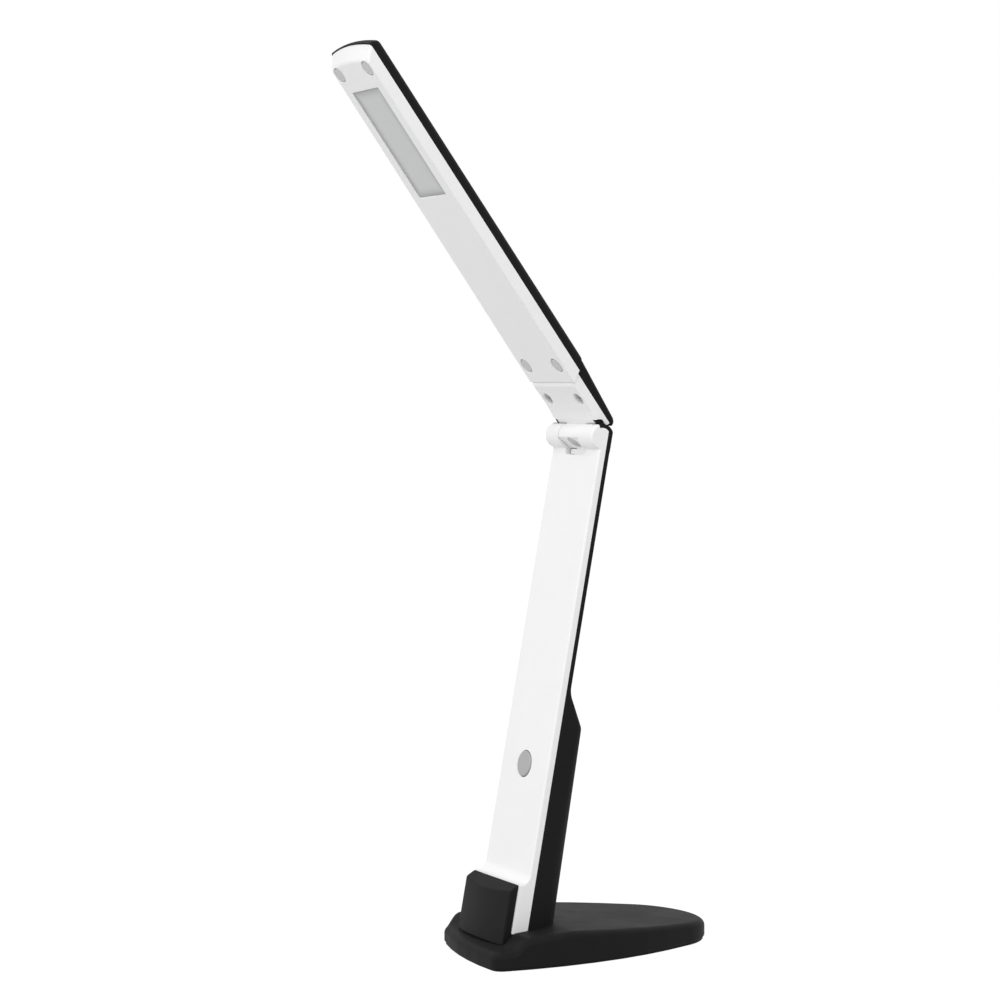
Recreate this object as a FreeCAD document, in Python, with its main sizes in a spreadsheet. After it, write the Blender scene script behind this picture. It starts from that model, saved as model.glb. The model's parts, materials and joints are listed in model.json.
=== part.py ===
"""Folding LED table lamp: weighted base, leaning arm with a battery housing, head that folds on a pin hinge.

Millimetres, +Z up, X across the lamp, -Y to the front. The origin lies on the underside of the anti-slip
pad, in the middle of the base. The arm and the head are drawn upright in frames of their own: X across,
Y from front to back, Z along the piece.
"""
import FreeCAD, Part
import os
import re
import Sketcher
from FreeCAD import Placement, Rotation, Vector

SIZES = {
    # base
    "base_front": 60.3, "base_back": 57.5, "base_height": 12.4, "base_lift": 0.8, "base_wall": 2.2,
    "base_front_bow": 5.2, "base_shoulder_half": 37.1, "base_bevel_in": 5.0, "base_bevel_drop": 3.2,
    "base_rim": 4.7, "pad_thick": 1.2, "pad_inset": 6.0, "plate_thick": 2.0,
    "plate_recess": 0.4, "ballast_thick": 4.2, "ballast_inset": 9.0, "ballast_front": 32.0,
    "base_boss_radius": 3.2,
    # arm
    "arm_width": 40.0, "arm_lean": 10.6, "arm_setback": 43.8, "arm_white_depth": 3.3,
    "arm_black_depth": 1.5, "arm_wall": 1.4, "arm_edge_round": 0.8, "arm_top_rib": 3.0, "foot_flare": 4.5,
    "flare_foot": 33.0, "rear_wall": 1.6, "rear_over": 2.4, "rear_round": 1.0, "bulge_fade": 14.0,
    "shoulder_over": 2.0, "bulge_depth_top": 14.2, "bulge_depth_foot": 16.6, "bulge_round": 4.0,
    "housing_floor": 2.4, "arm_screw_over": 7.0, "arm_screw_under": 17.8, "arm_screw_in": 5.5,
    "arm_boss_radius": 2.6,
    # front upstand and foot bracket
    "upstand_in": 2.0, "upstand_depth": 4.2, "upstand_bow": 1.2, "upstand_drop": 3.0, "upstand_round": 1.0,
    "upstand_screw_x": 11.0, "upstand_screw_y": 47.6, "upstand_screw_rise": 4.4, "bracket_half": 11.0,
    "bracket_thick": 1.2, "bracket_top": 27.0, "bracket_flange": 14.0, "bracket_screw_x": 7.0,
    "bracket_screw_z": 19.6, "bracket_screw_length": 4.6, "foot_screw_x": 8.0, "foot_screw_back": 10.0,
    "foot_boss_radius": 3.2, "foot_boss_height": 6.0, "foot_screw_length": 8.2,
    # hinge
    "hinge_over": 31.5, "hinge_depth": 0.4, "knuckle_radius": 5.4, "knuckle_half": 8.0, "hinge_gap": 0.6,
    "barrel_clear": 0.4, "pin_radius": 1.5, "pin_in": 3.0, "washer_radius": 3.4, "slot_under": 8.2,
    "slot_round": 1.6, "clamp_flat": 3.7, "clamp_recess": 1.0, "clamp_screw_radius": 2.6, "clamp_head": 0.8,
    "clamp_tip": 1.9, "web_top": 8.0, "head_open_angle": 133.0,
    # button and switch
    "button_over": 8.0, "button_radius": 5.4, "button_proud": 0.6, "button_round": 0.5,
    "button_flange": 0.9, "button_flange_radius": 7.2, "button_travel": 0.8, "switch_half": 3.0,
    "switch_height": 1.6, "switch_floor": 0.1, "plunger_radius": 1.6, "plunger_length": 1.6,
    "board_in": 5.0, "board_over": 5.2, "board_length": 19.8, "board_thick": 1.2, "board_screw_side": 3.5,
    "board_screw_in": 5.0, "post_radius": 2.4, "board_screw_length": 4.0,
    # batteries
    "cell_radius": 5.25, "cell_length": 44.5, "cell_nub_radius": 1.9, "cell_nub": 1.0, "cell_pitch": 10.9,
    "cell_depth": 7.9, "bay_foot": 24.0, "spring_height": 4.5, "rib_thick": 1.6, "rib_front": 3.6,
    "rib_back": 13.1, "contact_thick": 0.5, "contact_half": 4.2, "spring_foot_radius": 3.0,
    "spring_top_radius": 1.8, "door_in": 5.4, "door_foot": 26.0, "door_over": 5.0, "door_screw_over": 2.5,
    "door_boss_radius": 2.3, "door_screw_length": 5.0, "tongue_half": 5.0, "tongue_reach": 2.4,
    "tongue_thick": 1.0,
    # neck
    "face_offset": 2.8, "neck_face_half": 17.4, "neck_flare": 1.1, "neck_white": 4.0, "neck_thick": 7.9,
    "neck_round": 3.2, "neck_foot": 2.0, "neck_hood": 4.4, "neck_screw_x": 13.0, "neck_screw_z": 17.2,
    "neck_recess_radius": 2.75, "neck_recess": 2.6, "neck_screw_length": 4.2, "head_seam": 25.8,
    "seam_slant": 35.0, "seam_gap": 0.3, "link_half": 7.6, "link_thick": 1.2, "link_foot": 12.5,
    "link_top": 49.0, "link_screw_low": 39.0, "link_screw_high": 45.0, "link_boss_half": 5.0,
    "link_boss_end": 3.4, "link_screw_length": 3.8,
    # head
    "tip_length": 18.4, "head_bow": 2.2, "head_white": 4.2, "head_thick": 9.4, "head_face_half": 19.0,
    "head_tip_half": 17.6, "head_flare": 1.2, "head_round": 3.6, "head_wall": 1.4, "tip_slope": 5.1,
    "tip_rim": 0.7, "face_round": 0.6, "head_screw_x": 13.2, "head_screw_low": 35.0, "head_screw_in": 9.6,
    "head_boss_radius": 4.6, "head_boss_floor": 1.2, "head_screw_length": 4.4, "plug_radius": 3.4,
    "plug_thick": 1.0, "plug_sink": 0.15, "upper_boss_radius": 2.8, "heel_drop": 1.5, "heel_length": 6.0,
    # light
    "window_half": 12.1, "window_length": 52.1, "window_top": 173.9, "diffuser_sink": 0.5,
    "diffuser_flange": 0.8, "diffuser_lip": 1.5, "led_board_thick": 1.2, "led_board_lift": 0.5,
    "led_half_width": 1.4, "led_half_length": 1.75, "led_height": 0.8, "led_row_x": 5.4, "led_margin": 7.0,
    "led_screw_in": 3.2, "led_screw_length": 2.8,
    # wires, screws and clearances
    "wire_radius": 0.8, "wire_gap": 1.1, "wire_lift": 0.1, "wire_end": 0.5, "head_wire_foot": 52.0,
    "screw_head_radius": 2.3, "screw_head": 1.2, "screw_radius": 1.2, "small_head_radius": 1.8,
    "small_head": 0.7, "small_radius": 0.9, "run_clear": 0.05, "part_clear": 0.2, "button_clear": 0.3,
    "overrun": 5.0,
}
# Places that follow other sizes
PLACES = {
    "window_foot": "window_top - window_length", "head_end": "window_top + tip_length",
    "head_screw_high": "head_end - head_screw_in", "hinge_along": "head_end + hinge_over",
    "slot_foot": "hinge_along - slot_under", "rear_top": "hinge_along + rear_over",
    "bay_top": "bay_foot + 2 * contact_thick + spring_height + cell_length",
    "door_top": "bay_top + door_over", "door_screw_z": "bay_top + door_screw_over",
    "door_half": "arm_width / 2 - door_in", "board_foot": "bay_top + board_over",
    "board_top": "board_foot + board_length", "board_screw_z": "board_top - board_screw_in",
    "board_half": "arm_width / 2 - board_in", "board_screw_x": "board_half - board_screw_side",
    "button_along": "bay_top + button_over", "bulge_shoulder": "board_top + shoulder_over",
    "bulge_top": "bulge_shoulder + bulge_fade", "arm_screw_low": "bulge_top + arm_screw_over",
    "arm_screw_high": "hinge_along - arm_screw_under", "arm_screw_x": "arm_width / 2 - arm_screw_in",
    "upstand_half": "arm_width / 2 - upstand_in", "pin_half": "arm_width / 2 - pin_in",
    "wire_x": "arm_screw_x - arm_boss_radius - wire_radius - wire_gap",
}
# Corners of the base's plan: shares of its half width across, and of its front or back reach along
FRONT_SHARE = 0.7
CORNER_SHARES = (0.855, 0.853)
SHOULDER_SHARE = 0.63
BELLY_SHARES = (0.96, 0.294)
TAIL_SHARES = (0.7, 0.648)
FRONT_SCREW_SHARES = (0.59, 0.74)
BACK_SCREW_SHARES = (0.406, 0.692)
SHOULDER_STEPS = 4
LEDS_IN_ROW = 8

doc = FreeCAD.newDocument("folding_led_lamp")
sheet = doc.addObject("Spreadsheet::Sheet", "Sizes")
cells = {**SIZES, **{alias: f"={text}" for alias, text in PLACES.items()}}
for row, (alias, content) in enumerate(cells.items(), start=1):
    sheet.set(f"A{row}", alias.replace("_", " "))
    sheet.setAlias(f"B{row}", alias)
    sheet.set(f"B{row}", str(content))
doc.recompute()

X_AXIS, Y_AXIS, Z_AXIS = Vector(1, 0, 0), Vector(0, 1, 0), Vector(0, 0, 1)
UPRIGHT = Rotation(Z_AXIS, 0)
ACROSS = Rotation(Y_AXIS, 90)
TO_BACK = Rotation(X_AXIS, -90)
TO_FRONT = Rotation(X_AXIS, 90)
nodes = []


def bound(text):
    """The expression with each size's name pointed at the sheet."""
    return re.sub(r"[a-z_]+", lambda word: f"Sizes.{word[0]}" if word[0] in cells else word[0], text)


def value(text):
    """The expression's number."""
    return float(sheet.evalExpression(text))


def spot(point):
    """A sketch point as a vector."""
    return Vector(value(point[0]), value(point[1]), 0)


def both(text):
    """An expression and its negative."""
    return [f"-({text})", f"({text})"]


# Frames: the base stands in the ground frame, the arm leans, the head turns on the hinge pin.
GROUND = Placement()
ARM = Placement(Vector(0, value("-arm_setback"), 0), Rotation(X_AXIS, value("-arm_lean")))
HINGE = ARM.multVec(Vector(0, value("hinge_depth"), value("hinge_along")))
HEAD = Placement(HINGE, Rotation(X_AXIS, value("180 - arm_lean - head_open_angle")))


# Sketches and body features
def new_body(name):
    """An empty body."""
    return doc.addObject("PartDesign::Body", name)


def new_sketch(body, role, offset="0"):
    """A sketch on one of the body's own planes, moved along that plane's axis by offset."""
    sketch = body.newObject("Sketcher::SketchObject", f"{body.Name}_sketch")
    plane = next(item for item in body.Origin.OriginFeatures if item.Role == role)
    sketch.AttachmentSupport = [(plane, "")]
    sketch.MapMode = "FlatFace"
    sign = "-" if role == "XZ_Plane" else ""
    sketch.setExpression("AttachmentOffset.Base.z", bound(f"{sign}({offset})"))
    return sketch


def pin_down(sketch, geometry, position, point):
    """Ties a sketch point's two coordinates to expressions."""
    for kind, text in (("DistanceX", point[0]), ("DistanceY", point[1])):
        index = sketch.addConstraint(Sketcher.Constraint(kind, -1, 1, geometry, position, value(text)))
        sketch.setExpression(f"Constraints[{index}]", bound(text))


def draw(sketch, start, *steps):
    """A closed outline: each step is a point for a line, or a mid point and an end point for an arc."""
    here, links = start, []
    for step in steps:
        curved = isinstance(step[0], tuple)
        there = step[1] if curved else step
        if curved:
            index = sketch.addGeometry(Part.Arc(spot(here), spot(step[0]), spot(there)), False)
            middle = sketch.addGeometry(Part.Point(spot(step[0])), True)
            sketch.addConstraint(Sketcher.Constraint("PointOnObject", middle, 1, index))
            pin_down(sketch, middle, 1, step[0])
        else:
            index = sketch.addGeometry(Part.LineSegment(spot(here), spot(there)), False)
        first = sketch.getPoint(index, 1).distanceToPoint(spot(here))
        second = sketch.getPoint(index, 2).distanceToPoint(spot(here))
        links.append((index, 1, 2) if first <= second else (index, 2, 1))
        pin_down(sketch, index, links[-1][2], there)
        here = there
    for (last, _, end), (following, begin, _) in zip(links, links[1:] + links[:1]):
        sketch.addConstraint(Sketcher.Constraint("Coincident", last, end, following, begin))
    return sketch


def ring(sketch, centre, radius):
    """A circle tied to its centre and radius."""
    index = sketch.addGeometry(Part.Circle(spot(centre), Z_AXIS, value(radius)), False)
    pin_down(sketch, index, 3, centre)
    held = sketch.addConstraint(Sketcher.Constraint("Radius", index, value(radius)))
    sketch.setExpression(f"Constraints[{held}]", bound(radius))
    return sketch


def rings(sketch, centres, radius):
    """Equal circles."""
    for centre in centres:
        ring(sketch, centre, radius)
    return sketch


def rectangle(sketch, half, low, high):
    """A rectangle across the middle, from low to high."""
    left = f"-({half})"
    return draw(sketch, (left, low), (half, low), (half, high), (left, high), (left, low))


def feature(body, kind, sketch, length=None, symmetric=False, back=False):
    """A pad or pocket from a sketch, through everything when no length is given."""
    made = body.newObject(f"PartDesign::{kind}", f"{body.Name}_{kind.lower()}")
    made.Profile = sketch
    if length is None:
        made.Type = "ThroughAll"
    else:
        made.setExpression("Length", bound(length))
    made.SideType = "Symmetric" if symmetric else "One side"
    made.Reversed = back
    return made


def loft(body, kind, sketches):
    """A ruled loft through sketches, added or taken away."""
    made = body.newObject(f"PartDesign::{kind}", f"{body.Name}_loft")
    made.Profile = sketches[0]
    made.Sections = sketches[1:]
    made.Ruled = True
    return made


def soften(body, radius, wanted):
    """Rounds the edges that the test picks by their boxes."""
    doc.recompute()
    tip = body.Tip
    names = [f"Edge{i}" for i, edge in enumerate(tip.Shape.Edges, start=1) if wanted(edge.BoundBox)]
    made = body.newObject("PartDesign::Fillet", f"{body.Name}_fillet")
    made.Base = (tip, names)
    made.setExpression("Radius", bound(radius))
    return made


# Primitives and booleans
def put(item, at, rotation=UPRIGHT):
    """Places an item by three expressions."""
    item.Placement = Placement(Vector(), rotation)
    for axis, text in zip("xyz", at):
        item.setExpression(f"Placement.Base.{axis}", bound(text))
    return item


def rod(name, radius, length, at, rotation=UPRIGHT):
    """A cylinder from its foot."""
    made = doc.addObject("Part::Cylinder", name)
    made.setExpression("Radius", bound(radius))
    made.setExpression("Height", bound(length))
    return put(made, at, rotation)


def block(name, low, high):
    """A box between two corners."""
    made = doc.addObject("Part::Box", name)
    for side, least, most in zip(("Length", "Width", "Height"), low, high):
        made.setExpression(side, bound(f"({most}) - ({least})"))
    return put(made, low)


def fuse(name, *items):
    """One solid out of several."""
    made = doc.addObject("Part::MultiFuse", name)
    made.Shapes = list(items)
    return made


def compound(name, items, frame=GROUND):
    """Several items as one, set in a frame."""
    made = doc.addObject("Part::Compound", name)
    made.Links = list(items)
    made.Placement = frame
    return made


def cut(name, base, *tools):
    """A base less its tools."""
    made = doc.addObject("Part::Cut", name)
    made.Base = base
    made.Tool = compound(f"{name}_tools", tools)
    return made


def screw(name, seat, rotation, head_radius, head, radius, length):
    """A flat-headed screw: the head lies before its seat, the shank goes on along the rotated Z."""
    along = rotation.multVec(Z_AXIS)
    outer = [f"({text}) - ({head}) * ({round(part)})" for text, part in zip(seat, along)]
    return fuse(name, rod(f"{name}_head", head_radius, head, outer, rotation),
                rod(f"{name}_shank", radius, length, seat, rotation))


def screws(label, frame, seats, rotation, kind, length):
    """A set of equal screws as one sub-part."""
    head_radius = "screw_head_radius" if kind == "screw" else f"{kind}_head_radius"
    made = [screw(f"{label}_{i}", seat, rotation, head_radius, f"{kind}_head", f"{kind}_radius", length)
            for i, seat in enumerate(seats)]
    return keep(compound(f"{label}_set", made), label, frame)


def keep(item, label, frame):
    """Names a finished sub-part and sets it in its frame."""
    item.Label = label
    item.Placement = frame
    nodes.append(item)
    return item


# Levels shared by several sub-parts
PLATE_TOP = "base_lift + plate_thick"
DECK_UNDER = "base_height - base_wall"
PLATE_SEAT = "base_lift + plate_recess + screw_head"
FRONT_SCREWS = [(x, f"-base_front * {FRONT_SCREW_SHARES[1]}")
                for x in both(f"base_shoulder_half * {FRONT_SCREW_SHARES[0]}")]
BACK_SCREWS = [(x, f"base_back * {BACK_SCREW_SHARES[1]}")
               for x in both(f"base_shoulder_half * {BACK_SCREW_SHARES[0]}")]
FOOT_Y = "-arm_setback + base_height * tan(arm_lean * 1 deg) + foot_screw_back"
FOOT_SCREWS = [(x, FOOT_Y) for x in both("foot_screw_x")]
UPSTAND_SCREWS = [(x, "-upstand_screw_y") for x in both("upstand_screw_x")]
BRACKET_SCREWS = [(x, "bracket_screw_z") for x in both("bracket_screw_x")]
BRACKET_BACK = "arm_wall + bracket_thick"
ARM_DEPTH = "arm_white_depth + arm_black_depth"
ARM_SCREWS = [(x, z) for x in both("arm_screw_x") for z in ("arm_screw_low", "arm_screw_high")]
ARM_SCREW_SEAT = f"{ARM_DEPTH} - small_head - run_clear"
BUTTON_BACK = "arm_wall + part_clear + button_flange"
SWITCH_FRONT = f"{BUTTON_BACK} + button_travel + part_clear"
BOARD_FRONT = f"{SWITCH_FRONT} + switch_height"
BOARD_SCREWS = [(x, "board_screw_z") for x in both("board_screw_x")]
CELLS = int(value("(arm_width - 2 * rear_wall) / cell_pitch"))
CELL_ROW = [f"cell_pitch * ({i} - {CELLS - 1} / 2)" for i in range(CELLS)]
SLOT_HALF = "knuckle_half + hinge_gap"
NECK_PARTING = "face_offset + neck_white"
NECK_TOP = "face_offset + neck_thick"
NECK_SCREWS = [(x, "neck_screw_z") for x in both("neck_screw_x")]
NECK_SEAT = "face_offset + neck_recess"
LINK_LOW = f"{NECK_PARTING} - link_thick"
LINK_SCREWS = [("0", "link_screw_low"), ("0", "link_screw_high")]
PARTING = "face_offset + head_white"
HEAD_TOP = "face_offset + head_thick"
HEAD_CEILING = f"{HEAD_TOP} - head_wall"
HEAD_SCREWS = [(x, z) for x in both("head_screw_x") for z in ("head_screw_low", "head_screw_high")]
HEAD_SEAT = f"{PARTING} - head_boss_floor"
PLUG_SEAT = "face_offset + plug_sink + plug_thick"
LENS_BACK = "face_offset + head_wall + diffuser_flange"
LED_FACE = f"{PARTING} + led_board_lift"
LED_BACK = f"{LED_FACE} + led_board_thick"
LIGHT_HALF = "window_half + diffuser_lip"
LIGHT_FOOT = "window_foot - diffuser_lip"
LIGHT_TOP = "window_top + diffuser_lip"
LED_SCREWS = [("0", "window_foot + led_screw_in"), ("0", "window_top - led_screw_in")]


def foot_line(depth):
    """How far up the arm the base's top lies, at a depth behind the arm's front."""
    return f"(base_height + ({depth}) * sin(arm_lean * 1 deg)) / cos(arm_lean * 1 deg)"


def below_foot(body, front, back):
    """Cuts away what would stand below the base's top."""
    below = draw(new_sketch(body, "YZ_Plane"), (front, foot_line(front)), (back, foot_line(back)),
                 (back, "-overrun"), (front, "-overrun"), (front, foot_line(front)))
    feature(body, "Pocket", below, symmetric=True)


def bulge_depth(height):
    """Depth of the battery housing's back at a height along the arm."""
    return f"bulge_depth_foot + (bulge_depth_top - bulge_depth_foot) * ({height}) / bulge_shoulder"


def seam(depth):
    """Height of the slanted seam between neck and head at a depth."""
    return f"head_seam + (({depth}) - face_offset) * tan(seam_slant * 1 deg)"


def bay(sketch, half, low, high, curve):
    """A section with a flat front and two rounded back corners."""
    bend = f"({curve}) * (1 - cos(45 deg))"
    left = f"-({half})"
    return draw(
        sketch, (left, low), (half, low), (half, f"{high} - ({curve})"),
        ((f"{half} - {bend}", f"{high} - {bend}"), (f"{half} - ({curve})", high)),
        (f"{left} + ({curve})", high),
        ((f"{left} + {bend}", f"{high} - {bend}"), (left, f"{high} - ({curve})")), (left, low))


def tray(sketch, half):
    """The head's lower section: a flat face with two rounded corners between flaring sides."""
    bend = "face_round * (1 - cos(45 deg))"
    near, wide = f"{half} - face_round", f"{half} + head_flare"
    out = f"{half} + face_round * head_flare / head_white"
    return draw(
        sketch, (f"-({near})", "face_offset"), (near, "face_offset"),
        ((f"{half} - {bend}", f"face_offset + {bend}"), (out, "face_offset + face_round")),
        (wide, PARTING), (f"-({wide})", PARTING), (f"-({out})", "face_offset + face_round"),
        ((f"-({half} - {bend})", f"face_offset + {bend}"), (f"-({near})", "face_offset")))


# Base
def base_outline(sketch, inset="0"):
    """The boat-shaped plan, drawn in by inset."""
    narrow = f"(1 - ({inset}) / base_shoulder_half)"
    shorter = f"(1 - 2 * ({inset}) / (base_front + base_back))"
    middle = "(base_back - base_front) / 2"

    def at(x, y):
        return f"({x}) * {narrow}", f"{middle} + ({y} - {middle}) * {shorter}"

    front, bow = f"base_shoulder_half * {FRONT_SHARE}", "-base_front + base_front_bow"
    corner, corner_y = f"base_shoulder_half * {CORNER_SHARES[0]}", f"-base_front * {CORNER_SHARES[1]}"
    shoulder_y = f"-base_front * {SHOULDER_SHARE}"
    belly, belly_y = f"base_shoulder_half * {BELLY_SHARES[0]}", f"-base_front * {BELLY_SHARES[1]}"
    tail, tail_y = f"base_shoulder_half * {TAIL_SHARES[0]}", f"base_back * {TAIL_SHARES[1]}"
    return draw(
        sketch, at(f"-{front}", bow), (at("0", "-base_front"), at(front, bow)),
        (at(corner, corner_y), at("base_shoulder_half", shoulder_y)), (at(belly, belly_y), at(tail, tail_y)),
        (at("0", "base_back"), at(f"-{tail}", tail_y)),
        (at(f"-{belly}", belly_y), at("-base_shoulder_half", shoulder_y)),
        (at(f"-{corner}", corner_y), at(f"-{front}", bow)))


def base_cover():
    """Shell with a rounded shoulder, open below, with screw bosses and a slot for the foot bracket."""
    body = new_body("base_shell")
    levels = [("base_lift", "0")]
    for i in range(SHOULDER_STEPS + 1):
        turn = f"{90 * i / SHOULDER_STEPS} deg"
        drop, inset = f"base_bevel_drop * (1 - sin({turn}))", f"base_bevel_in * (1 - cos({turn}))"
        levels.append((f"base_height - {drop}", inset))
    loft(body, "AdditiveLoft", [base_outline(new_sketch(body, "XY_Plane", z), inset) for z, inset in levels])
    feature(body, "Pocket", base_outline(new_sketch(body, "XY_Plane", DECK_UNDER), "base_rim"))
    feature(body, "Pocket", base_outline(new_sketch(body, "XY_Plane", PLATE_TOP), "base_wall"))
    pillars = rings(new_sketch(body, "XY_Plane", PLATE_TOP), FRONT_SCREWS + BACK_SCREWS, "base_boss_radius")
    feature(body, "Pad", pillars, f"{DECK_UNDER} - ({PLATE_TOP})")
    pilots = rings(new_sketch(body, "XY_Plane", DECK_UNDER), FRONT_SCREWS + BACK_SCREWS,
                   "screw_radius + run_clear")
    feature(body, "Pocket", pilots)
    holes = rings(new_sketch(body, "XY_Plane", "base_height + overrun"), FOOT_SCREWS,
                  "screw_radius + part_clear")
    feature(body, "Pocket", rings(holes, UPSTAND_SCREWS, "small_radius + part_clear"))
    slot = block("bracket_slot", ("-bracket_half - part_clear", "arm_wall - part_clear", "0"),
                 ("bracket_half + part_clear", f"{BRACKET_BACK} + part_clear", "bracket_top"))
    keep(cut("base_shell_cut", body, compound("bracket_slot_set", [slot], ARM)), "base_cover", GROUND)


def base_parts():
    """Plate, pad, ballast and the screws that close the base."""
    plate = new_body("base_floor")
    rim = base_outline(new_sketch(plate, "XY_Plane", "base_lift"), "base_wall + part_clear")
    feature(plate, "Pad", rim, "plate_thick")
    recess = base_outline(new_sketch(plate, "XY_Plane", "base_lift + plate_recess"), "pad_inset - part_clear")
    feature(plate, "Pocket", recess)
    holes = new_sketch(plate, "XY_Plane", f"{PLATE_TOP} + overrun")
    feature(plate, "Pocket", rings(holes, FRONT_SCREWS + BACK_SCREWS, "screw_radius + part_clear"))
    sinks = new_sketch(plate, "XY_Plane", PLATE_SEAT)
    feature(plate, "Pocket", rings(sinks, FRONT_SCREWS + BACK_SCREWS, "screw_head_radius + part_clear"))
    keep(plate, "base_plate", GROUND)

    pad = new_body("pad")
    feature(pad, "Pad", base_outline(new_sketch(pad, "XY_Plane"), "pad_inset"), "pad_thick")
    keep(pad, "anti_slip_pad", GROUND)

    weight = new_body("weight")
    outline = base_outline(new_sketch(weight, "XY_Plane", PLATE_TOP), "ballast_inset")
    feature(weight, "Pad", outline, "ballast_thick")
    front = new_sketch(weight, "XY_Plane", f"{PLATE_TOP} + ballast_thick")
    feature(weight, "Pocket", rectangle(front, "base_shoulder_half", "-base_front", "-ballast_front"))
    notches = new_sketch(weight, "XY_Plane", f"{PLATE_TOP} + ballast_thick")
    feature(weight, "Pocket", rings(notches, BACK_SCREWS, "base_boss_radius + part_clear"))
    keep(weight, "ballast_weight", GROUND)

    seats = [(x, y, PLATE_SEAT) for x, y in FRONT_SCREWS + BACK_SCREWS]
    screws("base_screws", GROUND, seats, UPRIGHT, "screw", f"{DECK_UNDER} - ({PLATE_SEAT})")


def front_upstand():
    """Black block before the arm's foot, leaning with the arm, screwed up from under the deck."""
    body = new_body("upstand")
    back, flank = "-foot_flare", "-foot_flare - upstand_depth + upstand_bow"
    plan = draw(new_sketch(body, "XY_Plane"), ("-upstand_half", back), ("upstand_half", back),
                ("upstand_half", flank),
                (("0", "-foot_flare - upstand_depth"), ("-upstand_half", flank)), ("-upstand_half", back))
    feature(body, "Pad", plan, "flare_foot")
    front = "-foot_flare - upstand_depth - overrun"
    low = "flare_foot - upstand_drop * (upstand_depth + overrun) / upstand_depth"
    top = draw(new_sketch(body, "YZ_Plane"), (back, "flare_foot"), (front, low),
               (front, "flare_foot + overrun"),
               (back, "flare_foot + overrun"), (back, "flare_foot"))
    feature(body, "Pocket", top, symmetric=True)
    below_foot(body, front, "overrun")
    nose = value("-foot_flare - upstand_depth + upstand_bow + run_clear")
    high = value("flare_foot - 2 * upstand_drop")
    soften(body, "upstand_round", lambda box: box.YMax < nose and box.ZMin > high)
    body.Placement = ARM
    deck = [(x, y, DECK_UNDER) for x, y in UPSTAND_SCREWS]
    length = "base_wall + upstand_screw_rise"
    pilots = [rod(f"upstand_pilot_{i}", "small_radius + run_clear", length, at) for i, at in enumerate(deck)]
    keep(cut("upstand_cut", body, *pilots), "front_upstand", GROUND)
    screws("upstand_screws", GROUND, deck, UPRIGHT, "small", length)


def foot_bracket():
    """Bent steel angle that ties the arm to the base's deck."""
    under = f"{DECK_UNDER} - bracket_thick"
    upright = block("bracket_upright", ("-bracket_half", "arm_wall", f"({under}) / cos(arm_lean * 1 deg)"),
                    ("bracket_half", BRACKET_BACK, "bracket_top"))
    bend = f"-arm_setback + ({DECK_UNDER}) * tan(arm_lean * 1 deg) + arm_wall"
    flange = block("bracket_flange_plate", ("-bracket_half", bend, under),
                   ("bracket_half", f"{bend} + bracket_flange", DECK_UNDER))
    bent = fuse("bracket_bent", compound("bracket_upright_set", [upright], ARM), flange)
    low = [(x, y, under) for x, y in FOOT_SCREWS]
    holes = [rod(f"bracket_hole_{i}", "screw_radius + part_clear", "overrun", at) for i, at in enumerate(low)]
    behind = f"{BRACKET_BACK} + overrun"
    across = [rod(f"bracket_eye_{i}", "small_radius + part_clear", "2 * overrun", (x, behind, z), TO_FRONT)
              for i, (x, z) in enumerate(BRACKET_SCREWS)]
    keep(cut("bracket_cut", bent, *holes, compound("bracket_eyes", across, ARM)), "foot_bracket", GROUND)
    screws("foot_screws", GROUND, low, UPRIGHT, "screw", "foot_screw_length")
    seats = [(x, BRACKET_BACK, z) for x, z in BRACKET_SCREWS]
    screws("bracket_screws", ARM, seats, TO_FRONT, "small", "bracket_screw_length")


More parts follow.
